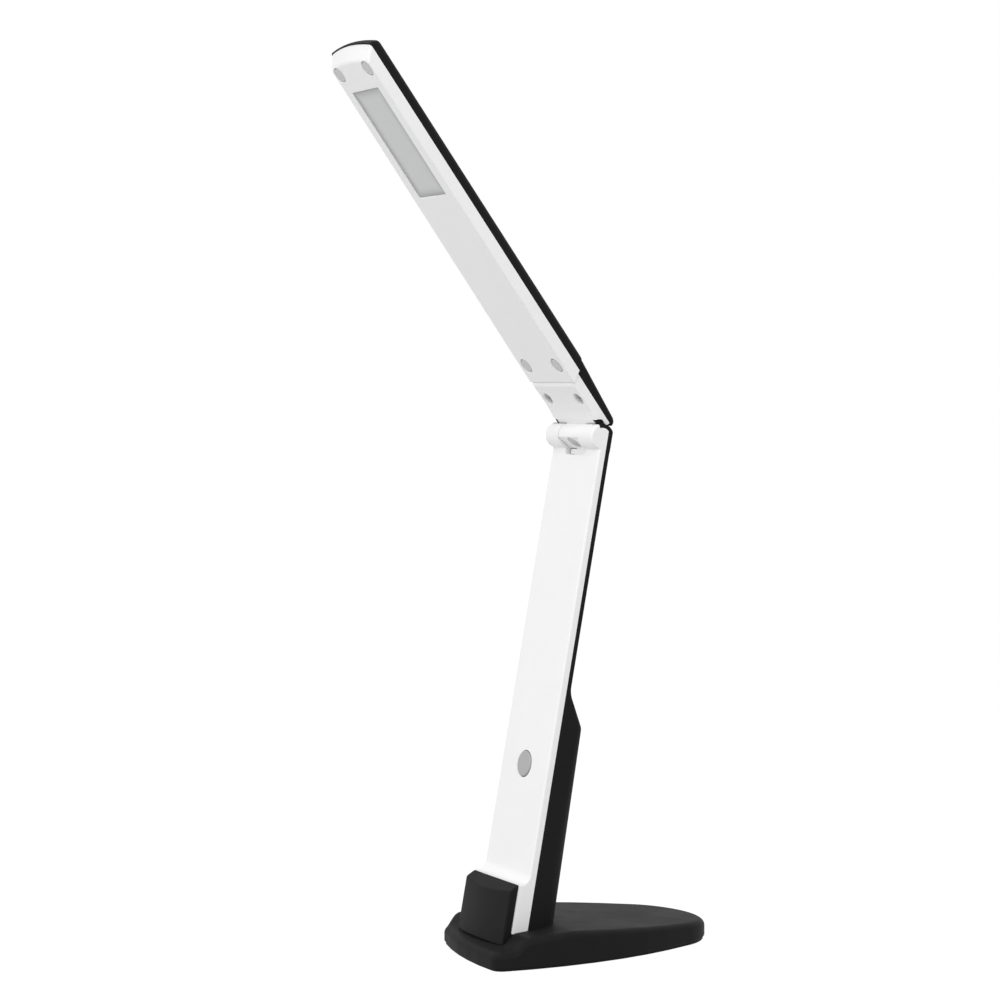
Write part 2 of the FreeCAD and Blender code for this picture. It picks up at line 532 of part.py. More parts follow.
# Arm
def arm_front_cover():
    """White channel with a flared foot, the button hole and the two outer hinge knuckles."""
    body = new_body("arm_front")
    bend = "foot_flare * (1 - cos(45 deg))"
    start = ("-foot_flare", foot_line("-foot_flare"))
    side = draw(new_sketch(body, "YZ_Plane"), start, ("-foot_flare", "flare_foot"),
                ((f"-({bend})", f"flare_foot + {bend}"), ("0", "flare_foot + foot_flare")),
                ("0", "hinge_along"),
                ("arm_white_depth", "hinge_along"), ("arm_white_depth", foot_line("arm_white_depth")), start)
    feature(body, "Pad", side, "arm_width", symmetric=True)
    near, tall = value("run_clear"), value("hinge_along / 2")
    soften(body, "arm_edge_round", lambda box: box.YMax < near and box.ZLength > tall)
    axis = ("hinge_depth", "hinge_along")
    feature(body, "Pad", ring(new_sketch(body, "YZ_Plane"), axis, "knuckle_radius"), "arm_width",
            symmetric=True)
    behind = "arm_white_depth + overrun"
    trim = draw(new_sketch(body, "YZ_Plane"), ("arm_white_depth", "slot_foot"), (behind, "slot_foot"),
                (behind, "rear_top + overrun"), ("arm_white_depth", "rear_top + overrun"),
                ("arm_white_depth", "slot_foot"))
    feature(body, "Pocket", trim, symmetric=True)
    slot = rectangle(new_sketch(body, "XZ_Plane"), SLOT_HALF, "slot_foot",
                     "hinge_along + knuckle_radius + overrun")
    feature(body, "Pocket", slot, symmetric=True)
    foot = value("slot_foot")
    side = value(f"{SLOT_HALF} + run_clear")
    soften(body, "slot_round", lambda box: max(box.XLength, box.ZLength, abs(box.ZMin - foot)) < near
           and abs(box.XMin) < side)
    bore = ring(new_sketch(body, "YZ_Plane"), axis, "pin_radius + run_clear")
    feature(body, "Pocket", bore, "2 * (pin_half + part_clear)", symmetric=True)
    inside = rectangle(new_sketch(body, "XZ_Plane", "arm_wall"), "arm_width / 2 - arm_wall", "0",
                       "slot_foot - arm_top_rib")
    feature(body, "Pocket", inside)
    hole = ring(new_sketch(body, "XZ_Plane"), ("0", "button_along"), "button_radius + button_clear")
    feature(body, "Pocket", hole, symmetric=True)
    bosses = rings(new_sketch(body, "XZ_Plane", "arm_wall"), ARM_SCREWS, "arm_boss_radius")
    feature(body, "Pad", bosses, "arm_white_depth - arm_wall", back=True)
    posts = rings(new_sketch(body, "XZ_Plane", "arm_wall"), BOARD_SCREWS, "post_radius")
    feature(body, "Pad", posts, f"{BOARD_FRONT} - arm_wall", back=True)
    pilots = rings(new_sketch(body, "XZ_Plane", "arm_wall"), ARM_SCREWS + BOARD_SCREWS,
                   "small_radius + run_clear")
    feature(body, "Pocket", pilots)
    eyes = rings(new_sketch(body, "XZ_Plane", "arm_wall"), BRACKET_SCREWS, "small_radius + run_clear")
    feature(body, "Pocket", eyes, "bracket_screw_length", back=True)
    keep(body, "arm_front_cover", ARM)


def arm_rear_cover():
    """Black back of the arm: a thin strip above that swells into the hollow battery housing."""
    body = new_body("arm_rear")
    half, inner = "arm_width / 2", "arm_width / 2 - rear_wall"
    outer = [("rear_top", ARM_DEPTH, "rear_round"), ("bulge_top", ARM_DEPTH, "rear_round"),
             ("bulge_shoulder", "bulge_depth_top", "bulge_round"), ("0", "bulge_depth_foot", "bulge_round")]
    loft(body, "AdditiveLoft", [bay(new_sketch(body, "XY_Plane", z), half, "arm_white_depth", depth, curve)
                                for z, depth, curve in outer])
    below_foot(body, "0", "bulge_depth_foot + overrun")
    floor = f"{foot_line('bulge_depth_foot')} + housing_floor"
    hollow = [("bulge_top", "arm_white_depth + part_clear", "rear_round"),
              ("bulge_shoulder", "bulge_depth_top - rear_wall", "bulge_round - rear_wall"),
              (floor, f"{bulge_depth(floor)} - rear_wall", "bulge_round - rear_wall")]
    before = "arm_white_depth - overrun"
    loft(body, "SubtractiveLoft", [bay(new_sketch(body, "XY_Plane", z), inner, before, depth, curve)
                                   for z, depth, curve in hollow])
    opening = rectangle(new_sketch(body, "XZ_Plane", "cell_depth"), "door_half", "door_foot", "door_top")
    feature(body, "Pocket", opening)
    slot = rectangle(new_sketch(body, "XZ_Plane"), SLOT_HALF, "slot_foot", "rear_top + overrun")
    feature(body, "Pocket", slot, symmetric=True)
    for level in ("bay_foot - rib_thick", "bay_top"):
        rib = rectangle(new_sketch(body, "XY_Plane", level), "arm_width / 2 - rear_wall / 2", "rib_front",
                        "rib_back")
        feature(body, "Pad", rib, "rib_thick")
    boss = ring(new_sketch(body, "XZ_Plane", "rib_front"), ("0", "door_screw_z"), "door_boss_radius")
    feature(body, "Pad", boss, "rib_back - rib_front", back=True)
    pilot = ring(new_sketch(body, "XZ_Plane", "cell_depth"), ("0", "door_screw_z"),
                 "small_radius + run_clear")
    feature(body, "Pocket", pilot)
    holes = rings(new_sketch(body, "XZ_Plane"), ARM_SCREWS, "small_radius + part_clear")
    feature(body, "Pocket", holes)
    sinks = rings(new_sketch(body, "XZ_Plane", ARM_SCREW_SEAT), ARM_SCREWS, "small_head_radius + part_clear")
    feature(body, "Pocket", sinks)
    body.Placement = ARM
    low = [(x, y, "base_height") for x, y in FOOT_SCREWS]
    bosses = [rod(f"foot_boss_{i}", "foot_boss_radius", "foot_boss_height", at) for i, at in enumerate(low)]
    pilots = [rod(f"foot_pilot_{i}", "screw_radius + run_clear", "foot_boss_height", at)
              for i, at in enumerate(low)]
    keep(cut("arm_rear_cut", fuse("arm_rear_bossed", body, *bosses), *pilots), "arm_rear_cover", GROUND)
    seats = [(x, ARM_SCREW_SEAT, z) for x, z in ARM_SCREWS]
    screws("arm_screws", ARM, seats, TO_FRONT, "small", f"{ARM_SCREW_SEAT} - arm_wall")


def battery_door():
    """Flush door in the housing's back, with a tongue below and a screw above."""
    body = new_body("door")
    half = "door_half - part_clear"
    levels = ["door_foot + part_clear", "door_top - part_clear"]
    depths = [(z, f"{bulge_depth(z)} - rear_wall", bulge_depth(z)) for z in levels]
    loft(body, "AdditiveLoft", [rectangle(new_sketch(body, "XY_Plane", z), half, inside, outside)
                                for z, inside, outside in depths])
    low = "door_foot - tongue_reach"
    back = f"{bulge_depth('door_foot')} - rear_wall - part_clear"
    tongue = rectangle(new_sketch(body, "XZ_Plane", back), "tongue_half", low, "door_foot + tongue_reach")
    feature(body, "Pad", tongue, "tongue_thick")
    heel = rectangle(new_sketch(body, "XZ_Plane", f"{back} + part_clear + run_clear"), "tongue_half",
                     "door_foot + part_clear", "door_foot + tongue_reach")
    feature(body, "Pad", heel, "tongue_thick")
    eye = ring(new_sketch(body, "XZ_Plane", "rib_front"), ("0", "door_screw_z"), "small_radius + part_clear")
    feature(body, "Pocket", eye)
    seat = f"{bulge_depth('door_screw_z')} - small_head - run_clear"
    sink = ring(new_sketch(body, "XZ_Plane", seat), ("0", "door_screw_z"), "small_head_radius + part_clear")
    feature(body, "Pocket", sink)
    keep(body, "battery_door", ARM)
    screws("door_screw", ARM, [("0", seat, "door_screw_z")], TO_FRONT, "small", "door_screw_length")


def batteries():
    """Cells side by side, as many as fit, between sprung and flat contacts."""
    foot = "bay_foot + contact_thick + spring_height"
    cells, coils, plates = [], [], []
    for i, x in enumerate(CELL_ROW):
        can = rod(f"cell_can_{i}", "cell_radius", "cell_length - cell_nub", (x, "cell_depth", foot))
        crown = f"{foot} + cell_length - cell_nub"
        nub = rod(f"cell_nub_{i}", "cell_nub_radius", "cell_nub", (x, "cell_depth", crown))
        cells.append(fuse(f"cell_{i}", can, nub))
        coil = doc.addObject("Part::Cone", f"coil_{i}")
        coil.setExpression("Radius1", bound("spring_foot_radius"))
        coil.setExpression("Radius2", bound("spring_top_radius"))
        coil.setExpression("Height", bound("spring_height"))
        coils.append(put(coil, (x, "cell_depth", "bay_foot + contact_thick")))
        for level in ("bay_foot", "bay_top - contact_thick"):
            low = (f"{x} - contact_half", "cell_depth - contact_half", level)
            high = (f"{x} + contact_half", "cell_depth + contact_half", f"{level} + contact_thick")
            plates.append(block(f"contact_{i}", low, high))
    keep(compound("cell_set", cells), "battery_cells", ARM)
    keep(compound("coil_set", coils), "contact_springs", ARM)
    keep(compound("contact_set", plates), "contact_plates", ARM)


def control_parts():
    """Board behind the button, its switch, and the button itself."""
    board = block("board_blank", ("-board_half", BOARD_FRONT, "board_foot"),
                  ("board_half", f"{BOARD_FRONT} + board_thick", "board_top"))
    eyes = [rod(f"board_eye_{i}", "small_radius + part_clear", "2 * overrun", (x, "0", z), TO_BACK)
            for i, (x, z) in enumerate(BOARD_SCREWS)]
    keep(cut("board_cut", board, *eyes), "control_board", ARM)
    seats = [(x, f"{BOARD_FRONT} + board_thick", z) for x, z in BOARD_SCREWS]
    screws("board_screws", ARM, seats, TO_FRONT, "small", "board_screw_length")

    case = block("switch_case", ("-switch_half", SWITCH_FRONT, "button_along - switch_half"),
                 ("switch_half", BOARD_FRONT, "button_along + switch_half"))
    throat = rod("switch_throat", "plunger_radius + button_clear", "switch_height - switch_floor",
                 ("0", SWITCH_FRONT, "button_along"), TO_BACK)
    keep(cut("switch_cut", case, throat), "tact_switch", ARM)
    stem = rod("plunger", "plunger_radius", "plunger_length", ("0", BUTTON_BACK, "button_along"), TO_BACK)
    keep(compound("plunger_set", [stem]), "switch_plunger", ARM)

    button = new_body("button")
    centre = ("0", "button_along")
    cap = ring(new_sketch(button, "XZ_Plane", BUTTON_BACK), centre, "button_radius")
    feature(button, "Pad", cap, f"{BUTTON_BACK} + button_proud")
    front = value("-button_proud + run_clear")
    soften(button, "button_round", lambda box: box.YMax < front)
    flange = ring(new_sketch(button, "XZ_Plane", BUTTON_BACK), centre, "button_flange_radius")
    feature(button, "Pad", flange, "button_flange")
    keep(button, "power_button", ARM)

    lead = rod("arm_lead", "wire_radius", "slot_foot - arm_top_rib - board_top - 2 * wire_end",
               ("wire_x", "arm_wall + wire_lift + wire_radius", "board_top + wire_end"))
    keep(compound("arm_lead_set", [lead]), "arm_wire", ARM)


# Hinge
def hinge_parts():
    """Pin, spacing washers and the screw that clamps the middle knuckle on the pin."""
    at = ("hinge_depth", "hinge_along")
    pin = rod("pin", "pin_radius", "2 * pin_half", ("-pin_half",) + at, ACROSS)
    keep(compound("pin_set", [pin]), "hinge_pin", ARM)
    thick = "hinge_gap - 2 * run_clear"
    discs = []
    for i, x in enumerate((f"-({SLOT_HALF}) + run_clear", "knuckle_half + run_clear")):
        disc = rod(f"washer_{i}", "washer_radius", thick, (x,) + at, ACROSS)
        eye = rod(f"washer_eye_{i}", "pin_radius + run_clear", thick, (x,) + at, ACROSS)
        discs.append(cut(f"washer_cut_{i}", disc, eye))
    keep(compound("washer_set", discs), "hinge_washers", ARM)
    seat = "-clamp_flat + clamp_recess"
    clamp = screw("clamp", ("0", seat, "0"), TO_BACK, "clamp_screw_radius", "clamp_head", "small_radius",
                  f"-clamp_tip - ({seat})")
    keep(clamp, "hinge_clamp_screw", HEAD)


# Neck
def past_seam(body, side, far):
    """Cuts a body off along the slanted seam, on the far side of it."""
    front, back = "-overrun", f"{HEAD_TOP} + overrun"
    line = [f"{seam(depth)} + ({side}) * seam_gap / 2" for depth in (front, back)]
    off = draw(new_sketch(body, "YZ_Plane"), (front, line[0]), (back, line[1]), (back, far), (front, far),
               (front, line[0]))
    feature(body, "Pocket", off, symmetric=True)


def neck_lower_cover():
    """White neck with the middle knuckle, its clamp flat and the two deep screw recesses."""
    body = new_body("neck_lower")
    start = ("-neck_face_half", "face_offset")
    plan = draw(new_sketch(body, "XY_Plane", "neck_foot"), start, ("neck_face_half", "face_offset"),
                ("neck_face_half + neck_flare", NECK_PARTING), ("-neck_face_half - neck_flare", NECK_PARTING),
                start)
    feature(body, "Pad", plan, "head_seam + overrun")
    past_seam(body, "-1", "head_seam + head_seam")
    hug = ring(new_sketch(body, "YZ_Plane"), ("0", "0"), "knuckle_radius + barrel_clear")
    feature(body, "Pocket", hug, symmetric=True)
    feature(body, "Pad", ring(new_sketch(body, "YZ_Plane"), ("0", "0"), "knuckle_radius"), "2 * knuckle_half",
            symmetric=True)
    web = draw(new_sketch(body, "YZ_Plane"), ("face_offset", "0"), (NECK_PARTING, "0"),
               (NECK_PARTING, "web_top"),
               ("face_offset", "web_top"), ("face_offset", "0"))
    feature(body, "Pad", web, "2 * knuckle_half", symmetric=True)
    under = "-knuckle_radius - overrun"
    flat = draw(new_sketch(body, "YZ_Plane"), ("-clamp_flat", under),
                ("-clamp_flat", "knuckle_radius + overrun"),
                (under, "knuckle_radius + overrun"), (under, under), ("-clamp_flat", under))
    feature(body, "Pocket", flat, symmetric=True)
    bore = ring(new_sketch(body, "YZ_Plane"), ("0", "0"), "pin_radius + run_clear")
    feature(body, "Pocket", bore, symmetric=True)
    sink = ring(new_sketch(body, "XZ_Plane", "-clamp_flat + clamp_recess"), ("0", "0"),
                "clamp_screw_radius + part_clear")
    feature(body, "Pocket", sink, back=True)
    eye = ring(new_sketch(body, "XZ_Plane"), ("0", "0"), "small_radius + run_clear")
    feature(body, "Pocket", eye, back=True)
    recess = rings(new_sketch(body, "XZ_Plane", NECK_SEAT), NECK_SCREWS, "neck_recess_radius")
    feature(body, "Pocket", recess, back=True)
    holes = rings(new_sketch(body, "XZ_Plane"), NECK_SCREWS, "screw_radius + run_clear")
    feature(body, "Pocket", holes)
    bed = rectangle(new_sketch(body, "XZ_Plane", LINK_LOW), "link_half + part_clear",
                    "link_foot - part_clear", "link_top")
    feature(body, "Pocket", bed)
    keep(body, "neck_lower_cover", HEAD)
    screws("neck_screws", HEAD, [(x, NECK_SEAT, z) for x, z in NECK_SCREWS], TO_BACK, "screw",
           "neck_screw_length")


def neck_upper_cover():
    """Black back of the neck, rounded over the hinge barrel."""
    body = new_body("neck_upper")
    plan = bay(new_sketch(body, "XY_Plane"), "neck_face_half + neck_flare", NECK_PARTING, NECK_TOP,
               "neck_round")
    feature(body, "Pad", plan, "head_seam + 2 * overrun")
    past_seam(body, "-1", "head_seam + head_seam")
    rise = f"({NECK_TOP} - ({NECK_PARTING}))"
    crest = "neck_foot + neck_hood"
    far = f"{NECK_TOP} + overrun"
    hood = draw(new_sketch(body, "YZ_Plane"), (NECK_PARTING, "neck_foot"),
                ((f"{NECK_PARTING} + {rise} * cos(45 deg)", f"{crest} - neck_hood * cos(45 deg)"),
                 (NECK_TOP, crest)),
                (far, crest), (far, "-overrun"), (NECK_PARTING, "-overrun"), (NECK_PARTING, "neck_foot"))
    feature(body, "Pocket", hood, symmetric=True)
    pilots = rings(new_sketch(body, "XZ_Plane", NECK_PARTING), NECK_SCREWS, "screw_radius + run_clear")
    feature(body, "Pocket", pilots, f"{NECK_SEAT} + neck_screw_length - ({NECK_PARTING})")
    keep(body, "neck_upper_cover", HEAD)

    strap = block("strap", ("-link_half", LINK_LOW, "link_foot"), ("link_half", NECK_PARTING, "link_top"))
    eyes = [rod(f"strap_eye_{i}", "small_radius + part_clear", "2 * overrun", (x, "0", z), TO_BACK)
            for i, (x, z) in enumerate(LINK_SCREWS)]
    keep(cut("strap_cut", strap, *eyes), "neck_link", HEAD)
    screws("link_screws", HEAD, [(x, LINK_LOW, z) for x, z in LINK_SCREWS], TO_BACK, "small",
           "link_screw_length")


# Head
def bowed_tip(body):
    """Gives the head's free end its bow."""
    wide = "head_face_half + head_flare"
    low, high = "head_end - head_bow", "head_end + overrun"
    tip = draw(new_sketch(body, "XZ_Plane"), (f"-({wide})", low), (("0", "head_end"), (wide, low)),
               (wide, high),
               (f"-({wide})", high), (f"-({wide})", low))
    feature(body, "Pocket", tip, symmetric=True)


def head_lower_cover():
    """White tray with the light window, the sloped tip and four screw bosses."""
    body = new_body("head_lower")
    ends = [("head_seam", "head_face_half"), ("head_end", "head_tip_half")]
    loft(body, "AdditiveLoft", [tray(new_sketch(body, "XY_Plane", z), half) for z, half in ends])
    past_seam(body, "1", "0")
    slope = "head_end - tip_slope"
    front, high = "face_offset - overrun", "head_end + overrun"
    chin = draw(new_sketch(body, "YZ_Plane"), ("face_offset", slope), (PARTING, "head_end - tip_rim"),
                (PARTING, high),
                (front, high), (front, slope), ("face_offset", slope))
    feature(body, "Pocket", chin, symmetric=True)
    bowed_tip(body)
    levels = [(f"{seam(PARTING)} + head_wall", "head_face_half"), (f"{slope} - head_wall", "head_tip_half")]
    floor, above = "face_offset + head_wall", f"{PARTING} + overrun"
    hollow = [rectangle(new_sketch(body, "XY_Plane", z), f"{half} - head_wall", floor, above)
              for z, half in levels]
    loft(body, "SubtractiveLoft", hollow)
    bosses = rings(new_sketch(body, "XZ_Plane", "face_offset + head_wall"), HEAD_SCREWS, "head_boss_radius")
    feature(body, "Pad", bosses, "head_white - head_wall", back=True)
    window = rectangle(new_sketch(body, "XZ_Plane"), "window_half", "window_foot", "window_top")
    feature(body, "Pocket", window)
    recess = rings(new_sketch(body, "XZ_Plane", PLUG_SEAT), HEAD_SCREWS, "plug_radius + run_clear")
    feature(body, "Pocket", recess, back=True)
    sinks = rings(new_sketch(body, "XZ_Plane", HEAD_SEAT), HEAD_SCREWS, "screw_head_radius + part_clear")
    feature(body, "Pocket", sinks, back=True)
    holes = rings(new_sketch(body, "XZ_Plane"), HEAD_SCREWS, "screw_radius + run_clear")
    feature(body, "Pocket", holes)
    mouth = rectangle(new_sketch(body, "XZ_Plane", f"{LINK_LOW} - part_clear"), "link_half + part_clear",
                      "head_seam",
                      "link_screw_low")
    feature(body, "Pocket", mouth)
    keep(body, "head_lower_cover", HEAD)


def head_upper_cover():
    """Black back of the head with the bosses its screws bite into."""
    body = new_body("head_upper")
    ends = [("head_seam", "head_face_half + head_flare"), ("head_end", "head_tip_half + head_flare")]
    loft(body, "AdditiveLoft", [bay(new_sketch(body, "XY_Plane", z), half, PARTING, HEAD_TOP, "head_round")
                                for z, half in ends])
    past_seam(body, "1", "0")
    bowed_tip(body)
    high, low, far = f"{seam(HEAD_TOP)} + heel_length", f"{HEAD_TOP} - heel_drop", f"{HEAD_TOP} + overrun"
    heel = draw(new_sketch(body, "YZ_Plane"), (HEAD_TOP, high), (far, high), (far, "head_seam"),
                (low, "head_seam"),
                (low, seam(low)), (HEAD_TOP, high))
    feature(body, "Pocket", heel, symmetric=True)
    levels = [(f"{seam(HEAD_TOP)} + heel_length", "head_face_half + head_flare - head_wall"),
              ("head_end - head_bow - head_wall", "head_tip_half + head_flare - head_wall")]
    before, curve = f"{PARTING} - overrun", "head_round - head_wall"
    loft(body, "SubtractiveLoft", [bay(new_sketch(body, "XY_Plane", z), half, before, HEAD_CEILING, curve)
                                   for z, half in levels])
    bosses = rings(new_sketch(body, "XZ_Plane", HEAD_CEILING), HEAD_SCREWS, "upper_boss_radius")
    feature(body, "Pad", bosses, f"{HEAD_CEILING} - ({PARTING})")
    saddle = rectangle(new_sketch(body, "XZ_Plane", HEAD_CEILING), "link_boss_half",
                       "link_screw_low - link_boss_end",
                       "link_screw_high + link_boss_end")
    feature(body, "Pad", saddle, f"{HEAD_CEILING} - ({NECK_PARTING})")
    posts = rings(new_sketch(body, "XZ_Plane", HEAD_CEILING), LED_SCREWS, "post_radius")
    feature(body, "Pad", posts, f"{HEAD_CEILING} - ({LED_BACK})")
    pilots = rings(new_sketch(body, "XZ_Plane"), HEAD_SCREWS, "screw_radius + run_clear")
    feature(body, "Pocket", pilots, f"{HEAD_SEAT} + head_screw_length")
    small = rings(new_sketch(body, "XZ_Plane"), LINK_SCREWS, "small_radius + run_clear")
    feature(body, "Pocket", small, f"{LINK_LOW} + link_screw_length")
    tiny = rings(new_sketch(body, "XZ_Plane"), LED_SCREWS, "small_radius + run_clear")
    feature(body, "Pocket", tiny, f"{LED_FACE} + led_screw_length")
    keep(body, "head_upper_cover", HEAD)


def head_fixings():
    """Screws that close the head, and the plugs over them."""
    screws("head_screws", HEAD, [(x, HEAD_SEAT, z) for x, z in HEAD_SCREWS], TO_BACK, "screw",
           "head_screw_length")
    plugs = [rod(f"plug_{i}", "plug_radius", "plug_thick", (x, "face_offset + plug_sink", z), TO_BACK)
             for i, (x, z) in enumerate(HEAD_SCREWS)]
    keep(compound("plug_set", plugs), "screw_plugs", HEAD)


def light_parts():
    """Diffuser, reflector frame, light board and its wire."""
    seat = "face_offset + head_wall"
    lens = block("lens",
                 ("-window_half + part_clear", "face_offset + diffuser_sink", "window_foot + part_clear"),
                 ("window_half - part_clear", seat, "window_top - part_clear"))
    brim = block("lens_brim", (f"-({LIGHT_HALF})", seat, LIGHT_FOOT), (LIGHT_HALF, LENS_BACK, LIGHT_TOP))
    keep(fuse("lens_fused", lens, brim), "diffuser", HEAD)
    wall = block("reflector_blank", (f"-({LIGHT_HALF})", LENS_BACK, LIGHT_FOOT),
                 (LIGHT_HALF, LED_FACE, LIGHT_TOP))
    well = block("reflector_well", ("-window_half", seat, "window_foot"),
                 ("window_half", LED_BACK, "window_top"))
    keep(cut("reflector_cut", wall, well), "reflector_frame", HEAD)
    board = block("led_blank", (f"-({LIGHT_HALF})", LED_FACE, LIGHT_FOOT), (LIGHT_HALF, LED_BACK, LIGHT_TOP))
    eyes = [rod(f"led_eye_{i}", "small_radius + part_clear", "2 * overrun", (x, LENS_BACK, z), TO_BACK)
            for i, (x, z) in enumerate(LED_SCREWS)]
    keep(cut("led_cut", board, *eyes), "led_board", HEAD)
    pitch = f"(window_top - window_foot - 2 * led_margin) / {LEDS_IN_ROW - 1}"
    chips = []
    for x in both("led_row_x"):
        for i in range(LEDS_IN_ROW):
            z = f"window_foot + led_margin + {pitch} * {i}"
            low = (f"{x} - led_half_width", f"{LED_FACE} - led_height", f"{z} - led_half_length")
            chips.append(block("led", low, (f"{x} + led_half_width", LED_FACE, f"{z} + led_half_length")))
    keep(compound("led_set", chips), "led_chips", HEAD)
    screws("led_board_screws", HEAD, [(x, LED_FACE, z) for x, z in LED_SCREWS], TO_BACK, "small",
           "led_screw_length")
    lead = rod("head_lead", "wire_radius", f"{LIGHT_FOOT} - head_wire_foot",
               ("wire_x", f"{HEAD_CEILING} - wire_lift - wire_radius", "head_wire_foot"))
    keep(compound("head_lead_set", [lead]), "head_wire", HEAD)


for build in (base_cover, base_parts, front_upstand, foot_bracket, arm_front_cover, arm_rear_cover,
              battery_door, batteries, control_parts, hinge_parts, neck_lower_cover, neck_upper_cover,
              head_lower_cover, head_upper_cover, head_fixings, light_parts):
    build()
doc.recompute()

for item in doc.Objects:
    if "Invalid" in item.State or "Error" in item.State:
        raise RuntimeError(f"{item.Name} failed: {item.State}")
os.makedirs("parts", exist_ok=True)
for item in nodes:
    if item.Shape.isNull() or not item.Shape.isValid():
        raise RuntimeError(f"{item.Label} has no valid shape")
    item.Shape.exportStep(f"parts/{item.Label}.step")
    print(f"{item.Label}: {len(item.Shape.Solids)} solid(s), {item.Shape.Volume:.1f} mm3")
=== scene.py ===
"""Looks of the folding LED table lamp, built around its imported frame.

Sizes are in millimetres. Each sub-assembly is drawn in a frame of its own, with X across the lamp, Y from
front to back and Z along the piece, and is then set in place in metres.
"""

import json
import logging
import math
from collections.abc import Callable, Iterable, Sequence
from dataclasses import dataclass
from enum import Enum

import bmesh
import bpy
from mathutils import Matrix, Vector


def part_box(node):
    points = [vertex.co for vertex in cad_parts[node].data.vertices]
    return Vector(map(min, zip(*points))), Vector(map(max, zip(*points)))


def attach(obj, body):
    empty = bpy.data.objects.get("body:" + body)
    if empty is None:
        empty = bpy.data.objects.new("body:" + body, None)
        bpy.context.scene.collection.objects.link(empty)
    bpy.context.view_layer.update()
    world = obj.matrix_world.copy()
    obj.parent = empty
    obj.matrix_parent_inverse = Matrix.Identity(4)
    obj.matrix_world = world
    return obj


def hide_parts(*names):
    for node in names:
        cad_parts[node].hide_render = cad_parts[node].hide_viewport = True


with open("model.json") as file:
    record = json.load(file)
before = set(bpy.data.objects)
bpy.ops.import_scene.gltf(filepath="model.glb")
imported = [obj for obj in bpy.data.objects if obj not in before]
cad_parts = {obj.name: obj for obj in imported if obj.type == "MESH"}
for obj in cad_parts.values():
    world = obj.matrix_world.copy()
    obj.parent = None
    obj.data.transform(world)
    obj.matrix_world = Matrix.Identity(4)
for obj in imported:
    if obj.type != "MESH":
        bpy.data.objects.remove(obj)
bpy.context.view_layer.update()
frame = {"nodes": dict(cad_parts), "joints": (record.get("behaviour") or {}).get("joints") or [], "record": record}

MM = 0.001
FULL_TURN = 2.0 * math.pi
STEPS_PER_TURN = 72
OVERRUN = 6.0
TINY = 0.0001
WELD = 0.002
POINT_RADIUS = 0.01
PURE_WHITE = (1.0, 1.0, 1.0, 1.0)
BOTH_SIDES = (-1.0, 1.0)
BELOW, ABOVE = BOTH_SIDES
STEP_SLACK = 0.01
MITRE_LIMIT = 0.5
CREASE_ANGLE = math.radians(32.0)
EDGE_ANGLE = math.radians(40.0)
LOG = logging.getLogger("lamp")

Point = tuple[float, float]
Corner = tuple[float, float, float]
Colour = tuple[float, float, float]
Place = tuple[float, float, float]
Profile = Sequence[Point]
Node = bpy.types.Node
Socket = bpy.types.NodeSocket
Tree = bpy.types.NodeTree


class Body(Enum):
    """The bodies that pieces ride on."""

    STAND = "stand"
    HEAD = "head"
    BUTTON = "button"


class Along(Enum):
    """The axis that an outline is drawn out along."""

    X = "x"
    Y = "y"
    Z = "z"


# Frames of the sub-assemblies
def joint(name: str) -> dict:
    """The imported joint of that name.

    Args:
        name: the joint's name in the record.

    Returns:
        The joint's entry.
    """
    return next(entry for entry in frame["joints"] if entry["name"] == name)


@dataclass(frozen=True)
class Frames:
    """Placements of ground, arm and head, worked out from the two packed joints."""

    hinge_depth: float = 0.4
    hinge_along: float = 223.8

    @property
    def scale(self) -> Matrix:
        """Millimetres to metres."""
        return Matrix.Scale(MM, 4)

    @property
    def lean(self) -> float:
        """How far the arm leans back, in radians, which the button's travel shows."""
        _, back, up = joint("button_press")["axis"]
        return math.atan2(-up, back)

    @property
    def hinge(self) -> Vector:
        """Middle of the hinge pin in metres."""
        return Vector(joint("head_fold")["pos_m"])

    @property
    def ground(self) -> Matrix:
        """The base stands upright at the origin."""
        return self.scale

    @property
    def arm(self) -> Matrix:
        """The arm leans about X, with its front plane's foot at its origin."""
        turn = Matrix.Rotation(-self.lean, 4, "X")
        foot = self.hinge - turn @ Vector((0.0, self.hinge_depth * MM, self.hinge_along * MM))
        return Matrix.Translation(foot) @ turn @ self.scale

    @property
    def head(self) -> Matrix:
        """The head starts at the hinge pin and is tilted to its photographed angle."""
        tilt = math.pi - self.lean - math.radians(joint("head_fold")["range_deg"][1])
        return Matrix.Translation(self.hinge) @ Matrix.Rotation(tilt, 4, "X") @ self.scale


FRAMES = Frames()


# Outlines
def arc_points(centre: Point, radius: float, start: float, end: float, steps: int = 0) -> list[Point]:
    """Points along an arc, both ends included.

    Args:
        centre: middle of the arc.
        radius: its radius.
        start: first angle in radians.
        end: last angle in radians.
        steps: lines in the arc, as many as its turn needs if it is left out.

    Returns:
        The points in order.
    """
    count = steps or max(2, math.ceil(abs(end - start) / FULL_TURN * STEPS_PER_TURN - STEP_SLACK))
    angles = [start + (end - start) * i / count for i in range(count + 1)]
    return [(centre[0] + radius * math.cos(a), centre[1] + radius * math.sin(a)) for a in angles]


